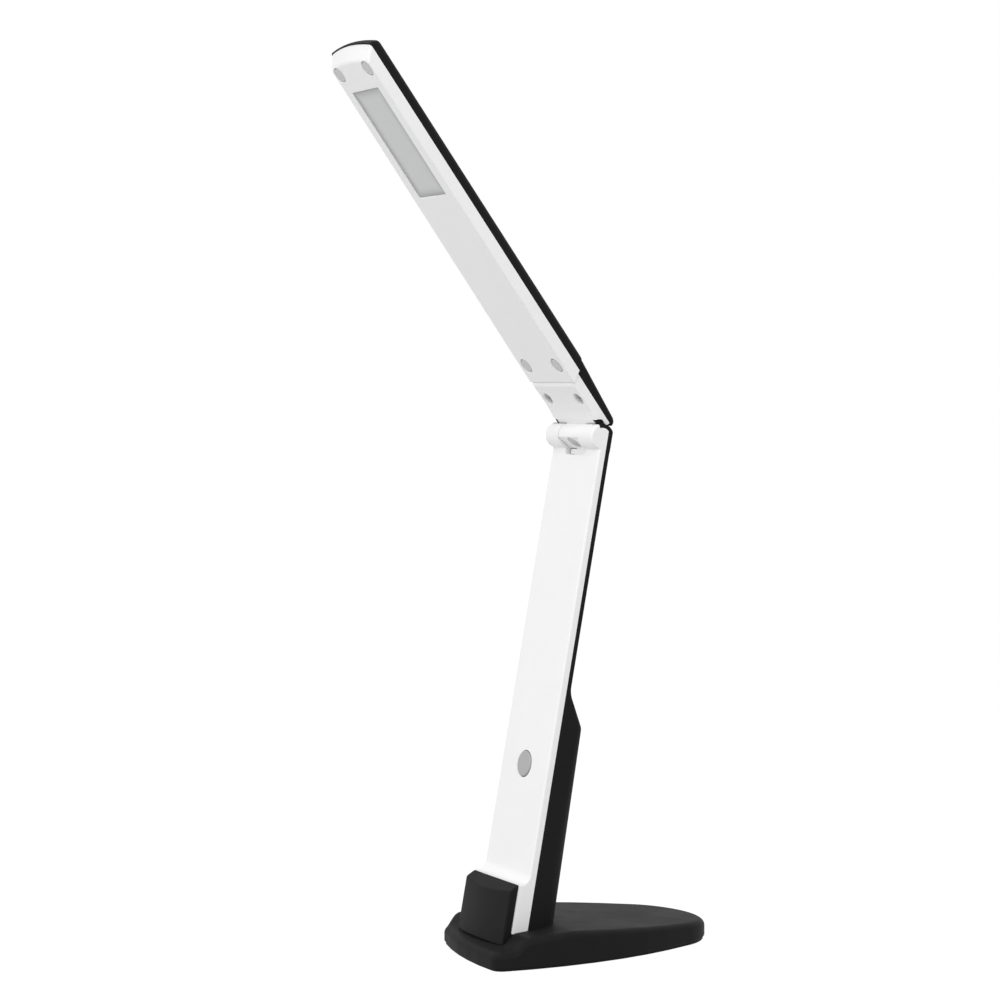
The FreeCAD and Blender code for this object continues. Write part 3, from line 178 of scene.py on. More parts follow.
def arc_through(start: Point, middle: Point, end: Point) -> list[Point]:
    """Points along the arc through three points, both ends included.

    Args:
        start: first point.
        middle: a point on the way.
        end: last point.

    Returns:
        The points in order.
    """
    (ax, ay), (bx, by), (cx, cy) = start, middle, end
    twice = 2.0 * (ax * (by - cy) + bx * (cy - ay) + cx * (ay - by))
    squares = [x * x + y * y for x, y in (start, middle, end)]
    ux = (squares[0] * (by - cy) + squares[1] * (cy - ay) + squares[2] * (ay - by)) / twice
    uy = (squares[0] * (cx - bx) + squares[1] * (ax - cx) + squares[2] * (bx - ax)) / twice
    first, mid, last = (math.atan2(y - uy, x - ux) for x, y in (start, middle, end))
    turn, part = (last - first) % FULL_TURN, (mid - first) % FULL_TURN
    if part > turn:
        turn -= FULL_TURN
    return arc_points((ux, uy), math.hypot(ax - ux, ay - uy), first, first + turn)


def rounded(corners: Sequence[Corner], closed: bool = True, steps: int = 0) -> list[Point]:
    """A line through corners, each rounded by its own radius.

    Args:
        corners: x, y and radius of each corner.
        closed: whether the last corner joins the first.
        steps: lines in each rounding, as many as its turn needs if it is left out.

    Returns:
        The points of the line.
    """
    points: list[Point] = []
    count = len(corners)
    for i, (x, y, radius) in enumerate(corners):
        if radius <= 0.0 or (not closed and i in (0, count - 1)):
            points.append((x, y))
            continue
        here = Vector((x, y))
        before = (Vector(corners[i - 1][:2]) - here).normalized()
        after = (Vector(corners[(i + 1) % count][:2]) - here).normalized()
        half = before.angle(after) / 2.0
        middle = here + (before + after).normalized() * radius / math.sin(half)
        first = here + before * radius / math.tan(half) - middle
        last = here + after * radius / math.tan(half) - middle
        start = math.atan2(first.y, first.x)
        turn = (math.atan2(last.y, last.x) - start + math.pi) % FULL_TURN - math.pi
        points.extend(arc_points((middle.x, middle.y), radius, start, start + turn, steps))
    return points


def inset(outline: Profile, distance: float) -> list[Point]:
    """A closed outline drawn in along its normals.

    Args:
        outline: points in anticlockwise order.
        distance: how far it is drawn in; less than zero widens it.

    Returns:
        As many points.
    """
    moved: list[Point] = []
    for i, (x, y) in enumerate(outline):
        (px, py), (nx, ny) = outline[i - 1], outline[(i + 1) % len(outline)]
        first, second = Vector((x - px, y - py)).normalized(), Vector((nx - x, ny - y)).normalized()
        normal = Vector((-(first + second).y, (first + second).x)).normalized()
        reach = distance / max(MITRE_LIMIT, normal.dot(Vector((-first.y, first.x))))
        moved.append((x + normal.x * reach, y + normal.y * reach))
    return moved


def even(points: Profile, step: float) -> list[Point]:
    """A closed line drawn again with evenly spaced points.

    Args:
        points: its points.
        step: the spacing aimed at.

    Returns:
        The evenly spaced points.
    """
    ring = [Vector(point) for point in points]
    lengths = [(ring[(i + 1) % len(ring)] - ring[i]).length for i in range(len(ring))]
    count = round(sum(lengths) / step)
    pitch = sum(lengths) / count
    made: list[Point] = []
    walked, i = 0.0, 0
    for k in range(count):
        while walked + lengths[i] < k * pitch:
            walked += lengths[i]
            i += 1
        spot = ring[i].lerp(ring[(i + 1) % len(ring)], (k * pitch - walked) / lengths[i])
        made.append((spot.x, spot.y))
    return made


def quarter(steps: int) -> list[float]:
    """Evenly spaced angles from 0 to 90 degrees, both ends included, in radians."""
    return [math.radians(90.0 * i / steps) for i in range(steps + 1)]


def held(share: float) -> float:
    """A share held between 0 and 1."""
    return min(1.0, max(0.0, share))


def rectangle(half: float, low: float, high: float, radius: float = 0.0) -> list[Point]:
    """A rectangle across the middle plane, anticlockwise, with rounded corners.

    Args:
        half: half of its width.
        low: its lower side.
        high: its upper side.
        radius: radius of its corners.

    Returns:
        Its points.
    """
    return rounded([(-half, low, radius), (half, low, radius), (half, high, radius), (-half, high, radius)])


def circle(centre: Point, radius: float) -> list[Point]:
    """A whole circle, anticlockwise, without a doubled last point."""
    return arc_points(centre, radius, 0.0, FULL_TURN)[:-1]


def bay(half: float, front: float, back: float, curve: float) -> list[Point]:
    """A section with a flat front and two rounded back corners, anticlockwise seen from above."""
    return rounded([(-half, front, 0.0), (half, front, 0.0), (half, back, curve), (-half, back, curve)])


# Solids
def face_outward(grid: bmesh.types.BMesh) -> None:
    """Turns all faces of a closed mesh outward.

    Args:
        grid: the mesh.
    """
    bmesh.ops.recalc_face_normals(grid, faces=grid.faces)
    if grid.calc_volume(signed=True) < 0.0:
        bmesh.ops.reverse_faces(grid, faces=grid.faces)


class Solid:
    """A closed mesh in the making, in millimetres of its own frame."""

    def __init__(self, rings: Sequence[Sequence[Vector]]) -> None:
        """Skins a stack of rings and closes both ends.

        Args:
            rings: rings of equally many points, in order.
        """
        grid = bmesh.new()
        rows = [[grid.verts.new(point) for point in ring] for ring in rings]
        for row, above in zip(rows, rows[1:]):
            for i in range(len(row)):
                j = (i + 1) % len(row)
                grid.faces.new((row[i], row[j], above[j], above[i]))
        grid.faces.new(list(reversed(rows[0])))
        grid.faces.new(rows[-1])
        face_outward(grid)
        mesh = bpy.data.meshes.new("solid")
        grid.to_mesh(mesh)
        grid.free()
        self.item = bpy.data.objects.new("solid", mesh)
        bpy.context.scene.collection.objects.link(self.item)

    @classmethod
    def drawn(cls, outline: Profile, low: float, high: float, along: Along) -> "Solid":
        """An outline drawn out straight along an axis.

        Args:
            outline: its points; along Y they are x and z, along X they are y and z.
            low: where it starts on the axis.
            high: where it ends.
            along: the axis.

        Returns:
            The solid.
        """
        spread = [point for i, point in enumerate(outline) if math.dist(point, outline[i - 1]) > TINY]
        return cls([[to_space(point, level, along) for point in spread] for level in (low, high)])

    @classmethod
    def stacked(cls, layers: Iterable[tuple[Profile, float]], along: Along) -> "Solid":
        """Outlines of equally many points, stacked at levels along an axis."""
        return cls([[to_space(point, level, along) for point in outline] for outline, level in layers])

    @classmethod
    def turned(cls, profile: Profile, centre: Point, along: Along) -> "Solid":
        """A round piece turned about an axis.

        Args:
            profile: radius and level of each ring.
            centre: where the axis stands in the plane across it.
            along: the axis.

        Returns:
            The solid.
        """
        rings = [(circle(centre, max(radius, POINT_RADIUS)), level) for radius, level in profile]
        return cls.stacked(rings, along)

    @classmethod
    def rod(cls, radius: float, low: float, high: float, centre: Point = (0.0, 0.0),
            along: Along = Along.X) -> "Solid":
        """A straight round rod between two levels on an axis."""
        return cls.turned([(radius, low), (radius, high)], centre, along)

    def _settle(self) -> "Solid":
        """Makes the modifiers' result the solid's own mesh.

        Returns:
            The same solid.
        """
        graph = bpy.context.evaluated_depsgraph_get()
        made = bpy.data.meshes.new_from_object(self.item.evaluated_get(graph))
        old = self.item.data
        self.item.modifiers.clear()
        self.item.data = made
        bpy.data.meshes.remove(old)
        return self

    def _combine(self, others: Iterable["Solid"], operation: str) -> "Solid":
        """Cuts or joins with other solids, which are used up.

        Args:
            others: the other solids.
            operation: Blender's name of what is done with each.

        Returns:
            The same solid.
        """
        for other in others:
            modifier = self.item.modifiers.new("combine", "BOOLEAN")
            modifier.operation = operation
            modifier.solver = "EXACT"
            modifier.object = other.item
            self._settle()
            other.discard()
            self._tidy()
        return self

    def _tidy(self) -> None:
        """Welds doubled points and drops slivers."""
        grid = bmesh.new()
        grid.from_mesh(self.item.data)
        bmesh.ops.remove_doubles(grid, verts=grid.verts, dist=WELD)
        bmesh.ops.dissolve_degenerate(grid, edges=grid.edges, dist=WELD)
        face_outward(grid)
        grid.to_mesh(self.item.data)
        grid.free()

    def cut(self, *tools: "Solid") -> "Solid":
        """The solid less its tools."""
        return self._combine(tools, "DIFFERENCE")

    def join(self, *others: "Solid") -> "Solid":
        """The solid with others grown onto it."""
        return self._combine(others, "UNION")

    def keep_inside(self, *others: "Solid") -> "Solid":
        """What the solid shares with others."""
        return self._combine(others, "INTERSECT")

    def with_loose(self, *others: "Solid") -> "Solid":
        """The solid and others that aren't joined to it, as one mesh.

        Args:
            others: the other solids, which are used up.

        Returns:
            The same solid.
        """
        grid = bmesh.new()
        grid.from_mesh(self.item.data)
        for other in others:
            grid.from_mesh(other.item.data)
            other.discard()
        grid.to_mesh(self.item.data)
        grid.free()
        return self

    def soften(self, width: float, segments: int = 3,
               where: Callable[[Vector], bool] | None = None) -> "Solid":
        """Rounds the edges that turn sharply.

        Args:
            width: how far the rounding reaches from each edge.
            segments: faces across the rounding.
            where: whether a point lies on an edge to round; all do if it is left out.

        Returns:
            The same solid.
        """
        grid = bmesh.new()
        grid.from_mesh(self.item.data)
        edges = [edge for edge in grid.edges if edge.calc_face_angle(0.0) > EDGE_ANGLE
                 and (where is None or all(where(vertex.co) for vertex in edge.verts))]
        bmesh.ops.bevel(grid, geom=edges, offset=width, segments=segments, profile=0.5, affect="EDGES",
                        clamp_overlap=False, miter_outer="ARC")
        grid.to_mesh(self.item.data)
        grid.free()
        self._tidy()
        return self

    def moved(self, placement: Matrix) -> "Solid":
        """The same solid, moved within its frame."""
        self.item.data.transform(placement)
        return self

    def discard(self) -> None:
        """Removes the solid."""
        mesh = self.item.data
        bpy.data.objects.remove(self.item)
        bpy.data.meshes.remove(mesh)

    def finished(self, name: str, placement: Matrix) -> bpy.types.Object:
        """Cleans the mesh, shades it smooth between creases and sets it in place.

        Args:
            name: the piece's name.
            placement: from millimetres of its own frame to metres of the lamp's.

        Returns:
            The finished piece.
        """
        self._tidy()
        mesh = self.item.data
        mesh.transform(placement)
        mesh.shade_smooth()
        mesh.set_sharp_from_angle(angle=CREASE_ANGLE)
        weight = self.item.modifiers.new("weight", "WEIGHTED_NORMAL")
        weight.keep_sharp = True
        self._settle()
        self.item.name = name
        self.item.data.name = name
        return self.item


def to_space(point: Point, level: float, along: Along) -> Vector:
    """A point of an outline in the plane across an axis.

    Args:
        point: the point in that plane.
        level: where the plane lies on the axis.
        along: the axis.

    Returns:
        The point in space.
    """
    first, second = point
    if along is Along.X:
        return Vector((level, first, second))
    if along is Along.Y:
        return Vector((first, level, second))
    return Vector((first, second, level))


def hole(outline: Profile, face: float, depth: float, lip: float, inward: float = 1.0) -> Solid:
    """A cutter for a hole along Y whose mouth is rounded by a lip.

    Args:
        outline: the hole's outline, x and z, anticlockwise.
        face: where the pierced face lies.
        depth: how deep the hole goes.
        lip: radius of the rounded mouth.
        inward: 1 if the hole goes towards +Y, -1 if it goes towards -Y.

    Returns:
        The cutter.
    """
    layers = [(inset(outline, -lip), face - inward * OVERRUN), (inset(outline, -lip), face)]
    for turn in quarter(steps=3)[1:]:
        mouth = inset(outline, -lip * (1.0 - math.sin(turn)))
        layers.append((mouth, face + inward * lip * (1.0 - math.cos(turn))))
    layers.append((outline, face + inward * depth))
    return Solid.stacked(layers, Along.Y)


# Finishes
class NodeSheet:
    """Adds and links the nodes of one tree."""

    def __init__(self, tree: Tree) -> None:
        """Keeps the tree.

        Args:
            tree: an emptied node tree.
        """
        self.tree = tree

    @classmethod
    def cleared(cls, owner: bpy.types.Material | bpy.types.World) -> "NodeSheet":
        """The emptied nodes of a material or world.

        Args:
            owner: the material or world.

        Returns:
            Its sheet.
        """
        owner.use_nodes = True
        owner.node_tree.nodes.clear()
        return cls(owner.node_tree)

    def add(self, kind: str, inputs: dict | None = None, **settings: object) -> Node:
        """A new node.

        Args:
            kind: its Blender type, without the ShaderNode in front.
            inputs: values of its sockets by name, or sockets to link from.
            settings: its own settings.

        Returns:
            The node.
        """
        node = self.tree.nodes.new(f"ShaderNode{kind}")
        for name, setting in settings.items():
            setattr(node, name, setting)
        for name, given in (inputs or {}).items():
            if isinstance(given, Socket):
                self.tree.links.new(given, node.inputs[name])
            else:
                node.inputs[name].default_value = given
        return node

    def math(self, operation: str, first: object, second: object) -> Socket:
        """The outcome of a sum of two sockets or numbers."""
        return self.add("Math", {0: first, 1: second}, operation=operation).outputs[0]

    def spread(self, given: object, low: float, high: float, to_low: float = 0.0,
               to_high: float = 1.0) -> Socket:
        """A value moved from one range to another, held at its ends."""
        ends = {"From Min": low, "From Max": high, "To Min": to_low, "To Max": to_high}
        return self.add("MapRange", {"Value": given, **ends}).outputs["Result"]

    def blend(self, share: object, first: object, second: object) -> Socket:
        """A colour between two.

        Args:
            share: how much of the second colour there is.
            first: a colour or a socket.
            second: a colour or a socket.

        Returns:
            The colour socket.
        """
        node = self.add("Mix", data_type="RGBA")
        for index, given in ((0, share), (6, first), (7, second)):
            if isinstance(given, Socket):
                self.tree.links.new(given, node.inputs[index])
            elif index == 0:
                node.inputs[index].default_value = given
            else:
                node.inputs[index].default_value = (*given, 1.0)
        return node.outputs[2]

    def group(self, tree: Tree, **inputs: float) -> Node:
        """A shared effect with its own values.

        Args:
            tree: the effect's group.
            inputs: values of its sockets, by their names in small letters.

        Returns:
            The group's node.
        """
        node = self.tree.nodes.new("ShaderNodeGroup")
        node.node_tree = tree
        for name, given in inputs.items():
            node.inputs[name.replace("_", " ").title()].default_value = given
        return node


class Effects:
    """Shared effects, each a node group that is built once."""

    PIT_SCALE_SHARE = 0.45
    PIT_SHARE = 0.5
    CLOUD_RANGE = (0.3, 0.7)
    EDGE_RANGE = (0.995, 0.85)
    BROKEN_RANGE = (0.35, 0.7, 0.2, 1.0)
    UPWARD_RANGE = (0.5, 1.0)
    FILM_RANGE = (0.3, 0.75, 0.35, 1.0)

    def __init__(self) -> None:
        """Builds the groups."""
        self.grain = self._made("moulded_grain", {"Size": 0.0003}, "Height", self._grain)
        self.tone = self._made("uneven_tone", {"Size": 0.02}, "Share", self._tone)
        self.wear = self._made("edge_wear", {"Reach": 0.0004, "Amount": 0.3}, "Mask", self._wear)
        self.dust = self._made("settled_dust", {"Amount": 0.2}, "Mask", self._dust)

    @staticmethod
    def _made(name: str, inputs: dict[str, float], output: str,
              fill: Callable[[NodeSheet, Node], Socket]) -> Tree:
        """A node group with named sockets.

        Args:
            name: the group's name.
            inputs: names and first values of its inputs.
            output: name of its output.
            fill: adds the nodes and gives the socket to put out.

        Returns:
            The group.
        """
        tree = bpy.data.node_groups.new(name, "ShaderNodeTree")
        for socket, first in inputs.items():
            made = tree.interface.new_socket(socket, in_out="INPUT", socket_type="NodeSocketFloat")
            made.default_value = first
        tree.interface.new_socket(output, in_out="OUTPUT", socket_type="NodeSocketFloat")
        sheet = NodeSheet(tree)
        into, out = tree.nodes.new("NodeGroupInput"), tree.nodes.new("NodeGroupOutput")
        tree.links.new(fill(sheet, into), out.inputs[0])
        return tree

    @staticmethod
    def _grain(sheet: NodeSheet, into: Node) -> Socket:
        """Spark-eroded mould texture: fine pits over a softer grain.

        Args:
            sheet: the group's nodes.
            into: its inputs.

        Returns:
            The socket to put out.
        """
        place = sheet.add("TexCoord").outputs["Object"]
        scale = sheet.math("DIVIDE", 1.0, into.outputs["Size"])
        fine = sheet.add("TexNoise", {"Vector": place, "Scale": scale, "Detail": 3.0, "Roughness": 0.6})
        pit_scale = sheet.math("MULTIPLY", scale, Effects.PIT_SCALE_SHARE)
        coarse = sheet.add("TexVoronoi", {"Vector": place, "Scale": pit_scale})
        pits = sheet.math("MULTIPLY", coarse.outputs["Distance"], Effects.PIT_SHARE)
        return sheet.math("ADD", fine.outputs["Fac"], pits)

    @staticmethod
    def _tone(sheet: NodeSheet, into: Node) -> Socket:
        """Broad faint clouds in the plastic.

        Args:
            sheet: the group's nodes.
            into: its inputs.

        Returns:
            The socket to put out.
        """
        place = sheet.add("TexCoord").outputs["Object"]
        scale = sheet.math("DIVIDE", 1.0, into.outputs["Size"])
        cloud = sheet.add("TexNoise", {"Vector": place, "Scale": scale, "Detail": 5.0, "Roughness": 0.55})
        return sheet.spread(cloud.outputs["Fac"], *Effects.CLOUD_RANGE)

    @staticmethod
    def _wear(sheet: NodeSheet, into: Node) -> Socket:
        """Edges, found where a rounded normal turns away from the surface, broken up by noise.

        Args:
            sheet: the group's nodes.
            into: its inputs.

        Returns:
            The socket to put out.
        """
        bend = sheet.add("Bevel", {"Radius": into.outputs["Reach"]}, samples=4)
        normals = {0: bend.outputs["Normal"], 1: sheet.add("NewGeometry").outputs["Normal"]}
        facing = sheet.add("VectorMath", normals, operation="DOT_PRODUCT")
        edge = sheet.spread(facing.outputs["Value"], *Effects.EDGE_RANGE)
        place = sheet.add("TexCoord").outputs["Object"]
        patch = sheet.add("TexNoise", {"Vector": place, "Scale": 260.0, "Detail": 4.0})
        broken = sheet.spread(patch.outputs["Fac"], *Effects.BROKEN_RANGE)
        return sheet.math("MULTIPLY", sheet.math("MULTIPLY", edge, broken), into.outputs["Amount"])

    @staticmethod
    def _dust(sheet: NodeSheet, into: Node) -> Socket:
        """A film on what faces up, thicker in patches.

        Args:
            sheet: the group's nodes.
            into: its inputs.

        Returns:
            The socket to put out.
        """
        normal = sheet.add("NewGeometry").outputs["Normal"]
        height = sheet.add("SeparateXYZ", {0: normal}).outputs["Z"]
        up = sheet.spread(height, *Effects.UPWARD_RANGE)
        place = sheet.add("TexCoord").outputs["Object"]
        patch = sheet.add("TexNoise", {"Vector": place, "Scale": 55.0, "Detail": 6.0, "Roughness": 0.65})
        thick = sheet.spread(patch.outputs["Fac"], *Effects.FILM_RANGE)
        return sheet.math("MULTIPLY", sheet.math("MULTIPLY", up, thick), into.outputs["Amount"])


EFFECTS = Effects()


@dataclass(frozen=True)
class Finish:
    """A moulded, painted or plated surface with grain, faint clouds, worn edges and dust."""

    slot: str
    colour: Colour
    roughness: float
    shade: str = ""
    specular: float = 0.5
    metallic: float = 0.0
    cloud: float = 0.03
    cloud_size: float = 18.0
    grain_size: float = 0.35
    grain_height: float = 0.01
    rough_spread: float = 0.05
    wear: float = 0.0
    wear_colour: Colour = (0.1, 0.1, 0.1)
    dust: float = 0.0
    dust_colour: Colour = (0.3, 0.29, 0.28)

    def _colour(self, sheet: NodeSheet, share: Socket) -> Socket:
        """The colour over the surface.

        Args:
            sheet: the material's nodes.
            share: the clouds.

        Returns:
            The colour socket.
        """
        low = tuple(part * (1.0 - self.cloud) for part in self.colour)
        high = tuple(min(1.0, part * (1.0 + self.cloud)) for part in self.colour)
        made = sheet.blend(share, low, high)
        if self.wear:
            worn = sheet.group(EFFECTS.wear, amount=self.wear)
            made = sheet.blend(worn.outputs["Mask"], made, self.wear_colour)
        if self.dust:
            settled = sheet.group(EFFECTS.dust, amount=self.dust)
            made = sheet.blend(settled.outputs["Mask"], made, self.dust_colour)
        return made

    def material(self) -> bpy.types.Material:
        """The material of this finish, made once.

        Returns:
            The material.
        """
        name = f"finish_{self.slot}{self.shade}"
        known = bpy.data.materials.get(name)
        if known:
            return known
        made = bpy.data.materials.new(name)
        sheet = NodeSheet.cleared(made)
        share = sheet.group(EFFECTS.tone, size=self.cloud_size * MM).outputs["Share"]
        grain = sheet.group(EFFECTS.grain, size=self.grain_size * MM).outputs["Height"]
        bump = sheet.add("Bump", {"Height": grain, "Strength": 1.0, "Distance": self.grain_height * MM})
        smooth, coarse = self.roughness - self.rough_spread, self.roughness + self.rough_spread
        rough = sheet.spread(share, 0.0, 1.0, smooth, coarse)
        surface = sheet.add("BsdfPrincipled", {
            "Base Color": self._colour(sheet, share), "Roughness": rough, "Metallic": self.metallic,
            "Specular IOR Level": self.specular, "Normal": bump.outputs["Normal"]})
        out = sheet.add("OutputMaterial", {"Surface": surface.outputs["BSDF"]})
        out.is_active_output = True
        return made


@dataclass(frozen=True)
class MilkyLens(Finish):
    """Milky plastic over a light box, with painted shade that darkens it towards its rim."""

    # Painted rim shade: how much darker the lens's colour gets at its edge.
    rim_shade_share: float = 0.45

    def _colour(self, sheet: NodeSheet, share: Socket) -> Socket:
        """The colour, with painted shade from the lens's rim attribute darkening it towards its edges.

        Args:
            sheet: the material's nodes.
            share: the clouds.

        Returns:
            The colour socket.
        """
        # Painted shade: blends the colour towards a darker copy where the rim attribute is high, at the lens's
        # edges.
        rim = sheet.add("Attribute", attribute_name="rim").outputs["Fac"]
        dark = tuple(part * (1.0 - self.rim_shade_share) for part in self.colour)
        return sheet.blend(rim, Finish._colour(self, sheet, share), dark)


WHITE = Finish("white_plastic", (0.88, 0.88, 0.88), 0.42, specular=0.4, cloud=0.012, grain_size=0.5,
               grain_height=0.006)
BLACK = Finish("black_plastic", (0.0085, 0.008, 0.008), 0.6, specular=0.1, cloud=0.12, grain_size=0.4,
               grain_height=0.03, wear=0.25, wear_colour=(0.03, 0.03, 0.03), dust=0.015)
GREY = Finish("grey_plastic", (0.385, 0.385, 0.39), 0.45)
PLUG = Finish("grey_plastic", (0.56, 0.56, 0.565), 0.45, shade="_pale")
DARK = Finish("dark_plastic", (0.05, 0.05, 0.05), 0.5)
# The lens's colour gets painted shade towards its rim, through MilkyLens.
LENS = MilkyLens("diffuser_plastic", (0.6, 0.605, 0.61), 0.35, specular=0.35, cloud=0.015, grain_size=0.8,
                 grain_height=0.004)
RUBBER = Finish("pad_rubber", (0.035, 0.035, 0.036), 0.85, specular=0.2, cloud=0.15, grain_size=0.7,
                grain_height=0.08)
STEEL = Finish("plain_steel", (0.55, 0.55, 0.56), 0.34, metallic=1.0, cloud=0.05, grain_size=0.2,
               grain_height=0.004, wear=0.3, wear_colour=(0.75, 0.75, 0.76))
SCREW = Finish("screw_steel", (0.5, 0.5, 0.51), 0.36, metallic=1.0, cloud=0.06, grain_size=0.15,
               grain_height=0.004, wear=0.35, wear_colour=(0.75, 0.75, 0.76))
CONTACT = Finish("contact_metal", (0.65, 0.63, 0.58), 0.3, metallic=1.0, cloud=0.05)
CELL = Finish("cell_steel", (0.3, 0.31, 0.33), 0.4, cloud=0.06)
LAMINATE = Finish("board_laminate", (0.05, 0.2, 0.1), 0.45, cloud=0.08)
COATED = Finish("board_aluminium", (0.8, 0.8, 0.8), 0.4)
RESIN = Finish("led_resin", (0.85, 0.75, 0.35), 0.3, cloud=0.05)
SHEATH = Finish("wire_sheath", (0.6, 0.08, 0.06), 0.55, cloud=0.06)
FINISHES = {finish.slot: finish for finish in (
    WHITE, BLACK, GREY, DARK, LENS, RUBBER, STEEL, SCREW, CONTACT, CELL, LAMINATE, COATED, RESIN, SHEATH)}


# Sub-assemblies
class SubAssembly:
    """What the sub-assemblies share."""

    body: Body = Body.STAND

    def keep(self, solid: Solid, node: str, finish: Finish, placement: Matrix,
             body: Body | None = None) -> None:
        """Finishes a piece, dresses it and lets it stand for its CAD node.

        Args:
            solid: the piece's solid.
            node: the CAD node that it stands for.
            finish: its finish.
            placement: its frame.
            body: the body it rides on, if not the sub-assembly's own.
        """
        piece = solid.finished(f"{node}_skin", placement)
        piece.data.materials.clear()
        piece.data.materials.append(finish.material())
        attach(piece, (body or self.body).value)
        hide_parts(node)
        LOG.info("%s: %d faces", piece.name, len(piece.data.polygons))


@dataclass
class Base(SubAssembly):
    """Low boat-shaped foot with its plate and pad."""

    front_in: float = 1.2
    front_share: float = 0.728
    bow: float = 2.6
    corner_shares: Point = (0.816, 0.909)
    shoulder_shares: Point = (0.865, 0.857)
    skew: float = 0.12
    skew_from: float = 45.0
    belly_shares: Point = (0.96, 0.294)
    tail_shares: Point = (0.7, 0.648)
    shoulder_in: float = 3.4
    shoulder_drop: float = 2.7
    deck_rise: float = 2.0
    crest: float = -24.0
    tail_fall: float = 6.2
    tail_power: float = 1.05
    foot_fall: float = 2.6
    ledge_fall: float = 4.4
    ledge_from: float = 44.5
    ledge_length: float = 6.5
    middle: float = -6.0
    skirt: float = 0.5
    foot_in: float = 0.7
    foot_rise: float = 1.3
    wall: float = 2.2
    rim: float = 4.7
    plate_thick: float = 2.0
    plate_clear: float = 0.2
    pad_thick: float = 1.2
    pad_inset: float = 4.6
    plate_edge: float = 0.25
    pad_edge: float = 0.35
    foot_rounds: Point = (0.2, 0.3)
    point_spacing: float = 1.2
    ring_shares: Sequence[float] = (0.97, 0.94, 0.91, 0.88, 0.85, 0.82, 0.79, 0.76, 0.7, 0.6, 0.45, 0.3, 0.15)
    front_screw_shares: Point = (0.59, 0.74)
    back_screw_shares: Point = (0.406, 0.692)
    screw_seat: float = 2.0

    def __post_init__(self) -> None:
        """Reads the base's reach from the frame."""
        low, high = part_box("base_cover")
        self.half, self.front, self.back = high.x / MM, -low.y / MM, high.y / MM
        self.lift, self.height = low.z / MM - self.skirt, high.z / MM

    def outline(self) -> list[Point]:
        """The plan of the base, anticlockwise from the front's left end.

        Returns:
            Its evenly spaced points.
        """
        apex = -self.front + self.front_in
        front_half, bowed = self.half * self.front_share, apex + self.bow
        corner = (self.half * self.corner_shares[0], -self.front * self.corner_shares[1])
        shoulder = (self.half * self.shoulder_shares[0], -self.front * self.shoulder_shares[1])
        belly = (self.half * self.belly_shares[0], -self.front * self.belly_shares[1])
        tail = (self.half * self.tail_shares[0], self.back * self.tail_shares[1])
        stretches = [
            arc_through((-front_half, bowed), (0.0, apex), (front_half, bowed)),
            arc_through((front_half, bowed), corner, shoulder),
            arc_through(shoulder, belly, tail),
            arc_through(tail, (0.0, self.back), (-tail[0], tail[1])),
            arc_through((-tail[0], tail[1]), (-belly[0], belly[1]), (-shoulder[0], shoulder[1])),
            arc_through((-shoulder[0], shoulder[1]), (-corner[0], corner[1]), (-front_half, bowed))]
        line = [point for stretch in stretches for point in stretch[:-1]]
        askew = [(x, y - self.skew * x * held(-y / self.skew_from)) for x, y in line]
        return even(askew, self.point_spacing)

    def deck(self, y: float) -> float:
        """How much lower the deck lies at a place than at its crest behind the arm's foot.

        Args:
            y: the place, from front to back.

        Returns:
            The fall.
        """
        behind = max(0.0, y - self.crest) / (self.back - self.crest)
        before = max(0.0, self.crest - y) / (self.front + self.crest)
        step = held((-y - self.ledge_from) / self.ledge_length)
        return (self.tail_fall * behind ** self.tail_power + self.foot_fall * before
                + self.ledge_fall * step * step * (3.0 - 2.0 * step))

    def cover(self) -> Solid:
        """Hollow shell with a stepped-in foot edge, a round shoulder and a deck that falls to both ends.

        Returns:
            The shell.
        """
        plan = self.outline()
        top = self.height + self.deck_rise
        seat, step = self.lift + self.plate_thick, self.lift + self.foot_rise
        inner, outer = self.foot_rounds
        foot = rounded([(self.foot_in, self.lift, 0.0), (self.foot_in, step, inner), (0.0, step, outer),
                        (0.0, step + self.foot_rise, 0.0)], closed=False)
        flat = [(self.rim, seat), (self.wall, seat), (self.wall, self.lift), *foot]
        round_part = [(self.shoulder_in * (1.0 - math.cos(t)), top - self.shoulder_drop * (1.0 - math.sin(t)))
                      for t in quarter(steps=10)]

        def lowered(points: Profile, level: float) -> list[Vector]:
            """A ring whose points sink with the deck."""
            return [Vector((x, y, level - self.deck(y))) for x, y in points]

        edge = inset(plan, self.shoulder_in)
        rings = [lowered(inset(plan, self.rim), top - self.wall)]
        rings += [[Vector((x, y, level)) for x, y in inset(plan, far)] for far, level in flat]
        rings += [lowered(inset(plan, far), level) for far, level in round_part]
        for share in self.ring_shares:
            ring = [(x * share, self.middle + (y - self.middle) * share) for x, y in edge]
            rings.append(lowered(ring, top))
        return Solid(rings)

    def screws(self) -> list[Vector]:
        """Seats of the four screws, in a frame turned so that its Y points up."""
        places = ((self.front_screw_shares, -self.front), (self.back_screw_shares, self.back))
        return [Vector((side * across * self.half, self.screw_seat, -along * reach))
                for (across, along), reach in places for side in BOTH_SIDES]

    def build(self) -> None:
        """Cover, plate and pad."""
        plan = self.outline()
        self.keep(self.cover(), "base_cover", BLACK, FRAMES.ground)
        plate_plan, bed_in = inset(plan, self.wall + self.plate_clear), self.pad_inset - self.plate_clear
        plate = Solid.drawn(plate_plan, self.lift, self.lift + self.plate_thick, Along.Z)
        bed = Solid.drawn(inset(plan, bed_in), self.lift - OVERRUN, self.pad_thick, Along.Z)
        self.keep(plate.cut(bed).soften(self.plate_edge, segments=2), "base_plate", BLACK, FRAMES.ground)
        pad = Solid.drawn(inset(plan, self.pad_inset), 0.0, self.pad_thick, Along.Z)
        self.keep(pad.soften(self.pad_edge), "anti_slip_pad", RUBBER, FRAMES.ground)


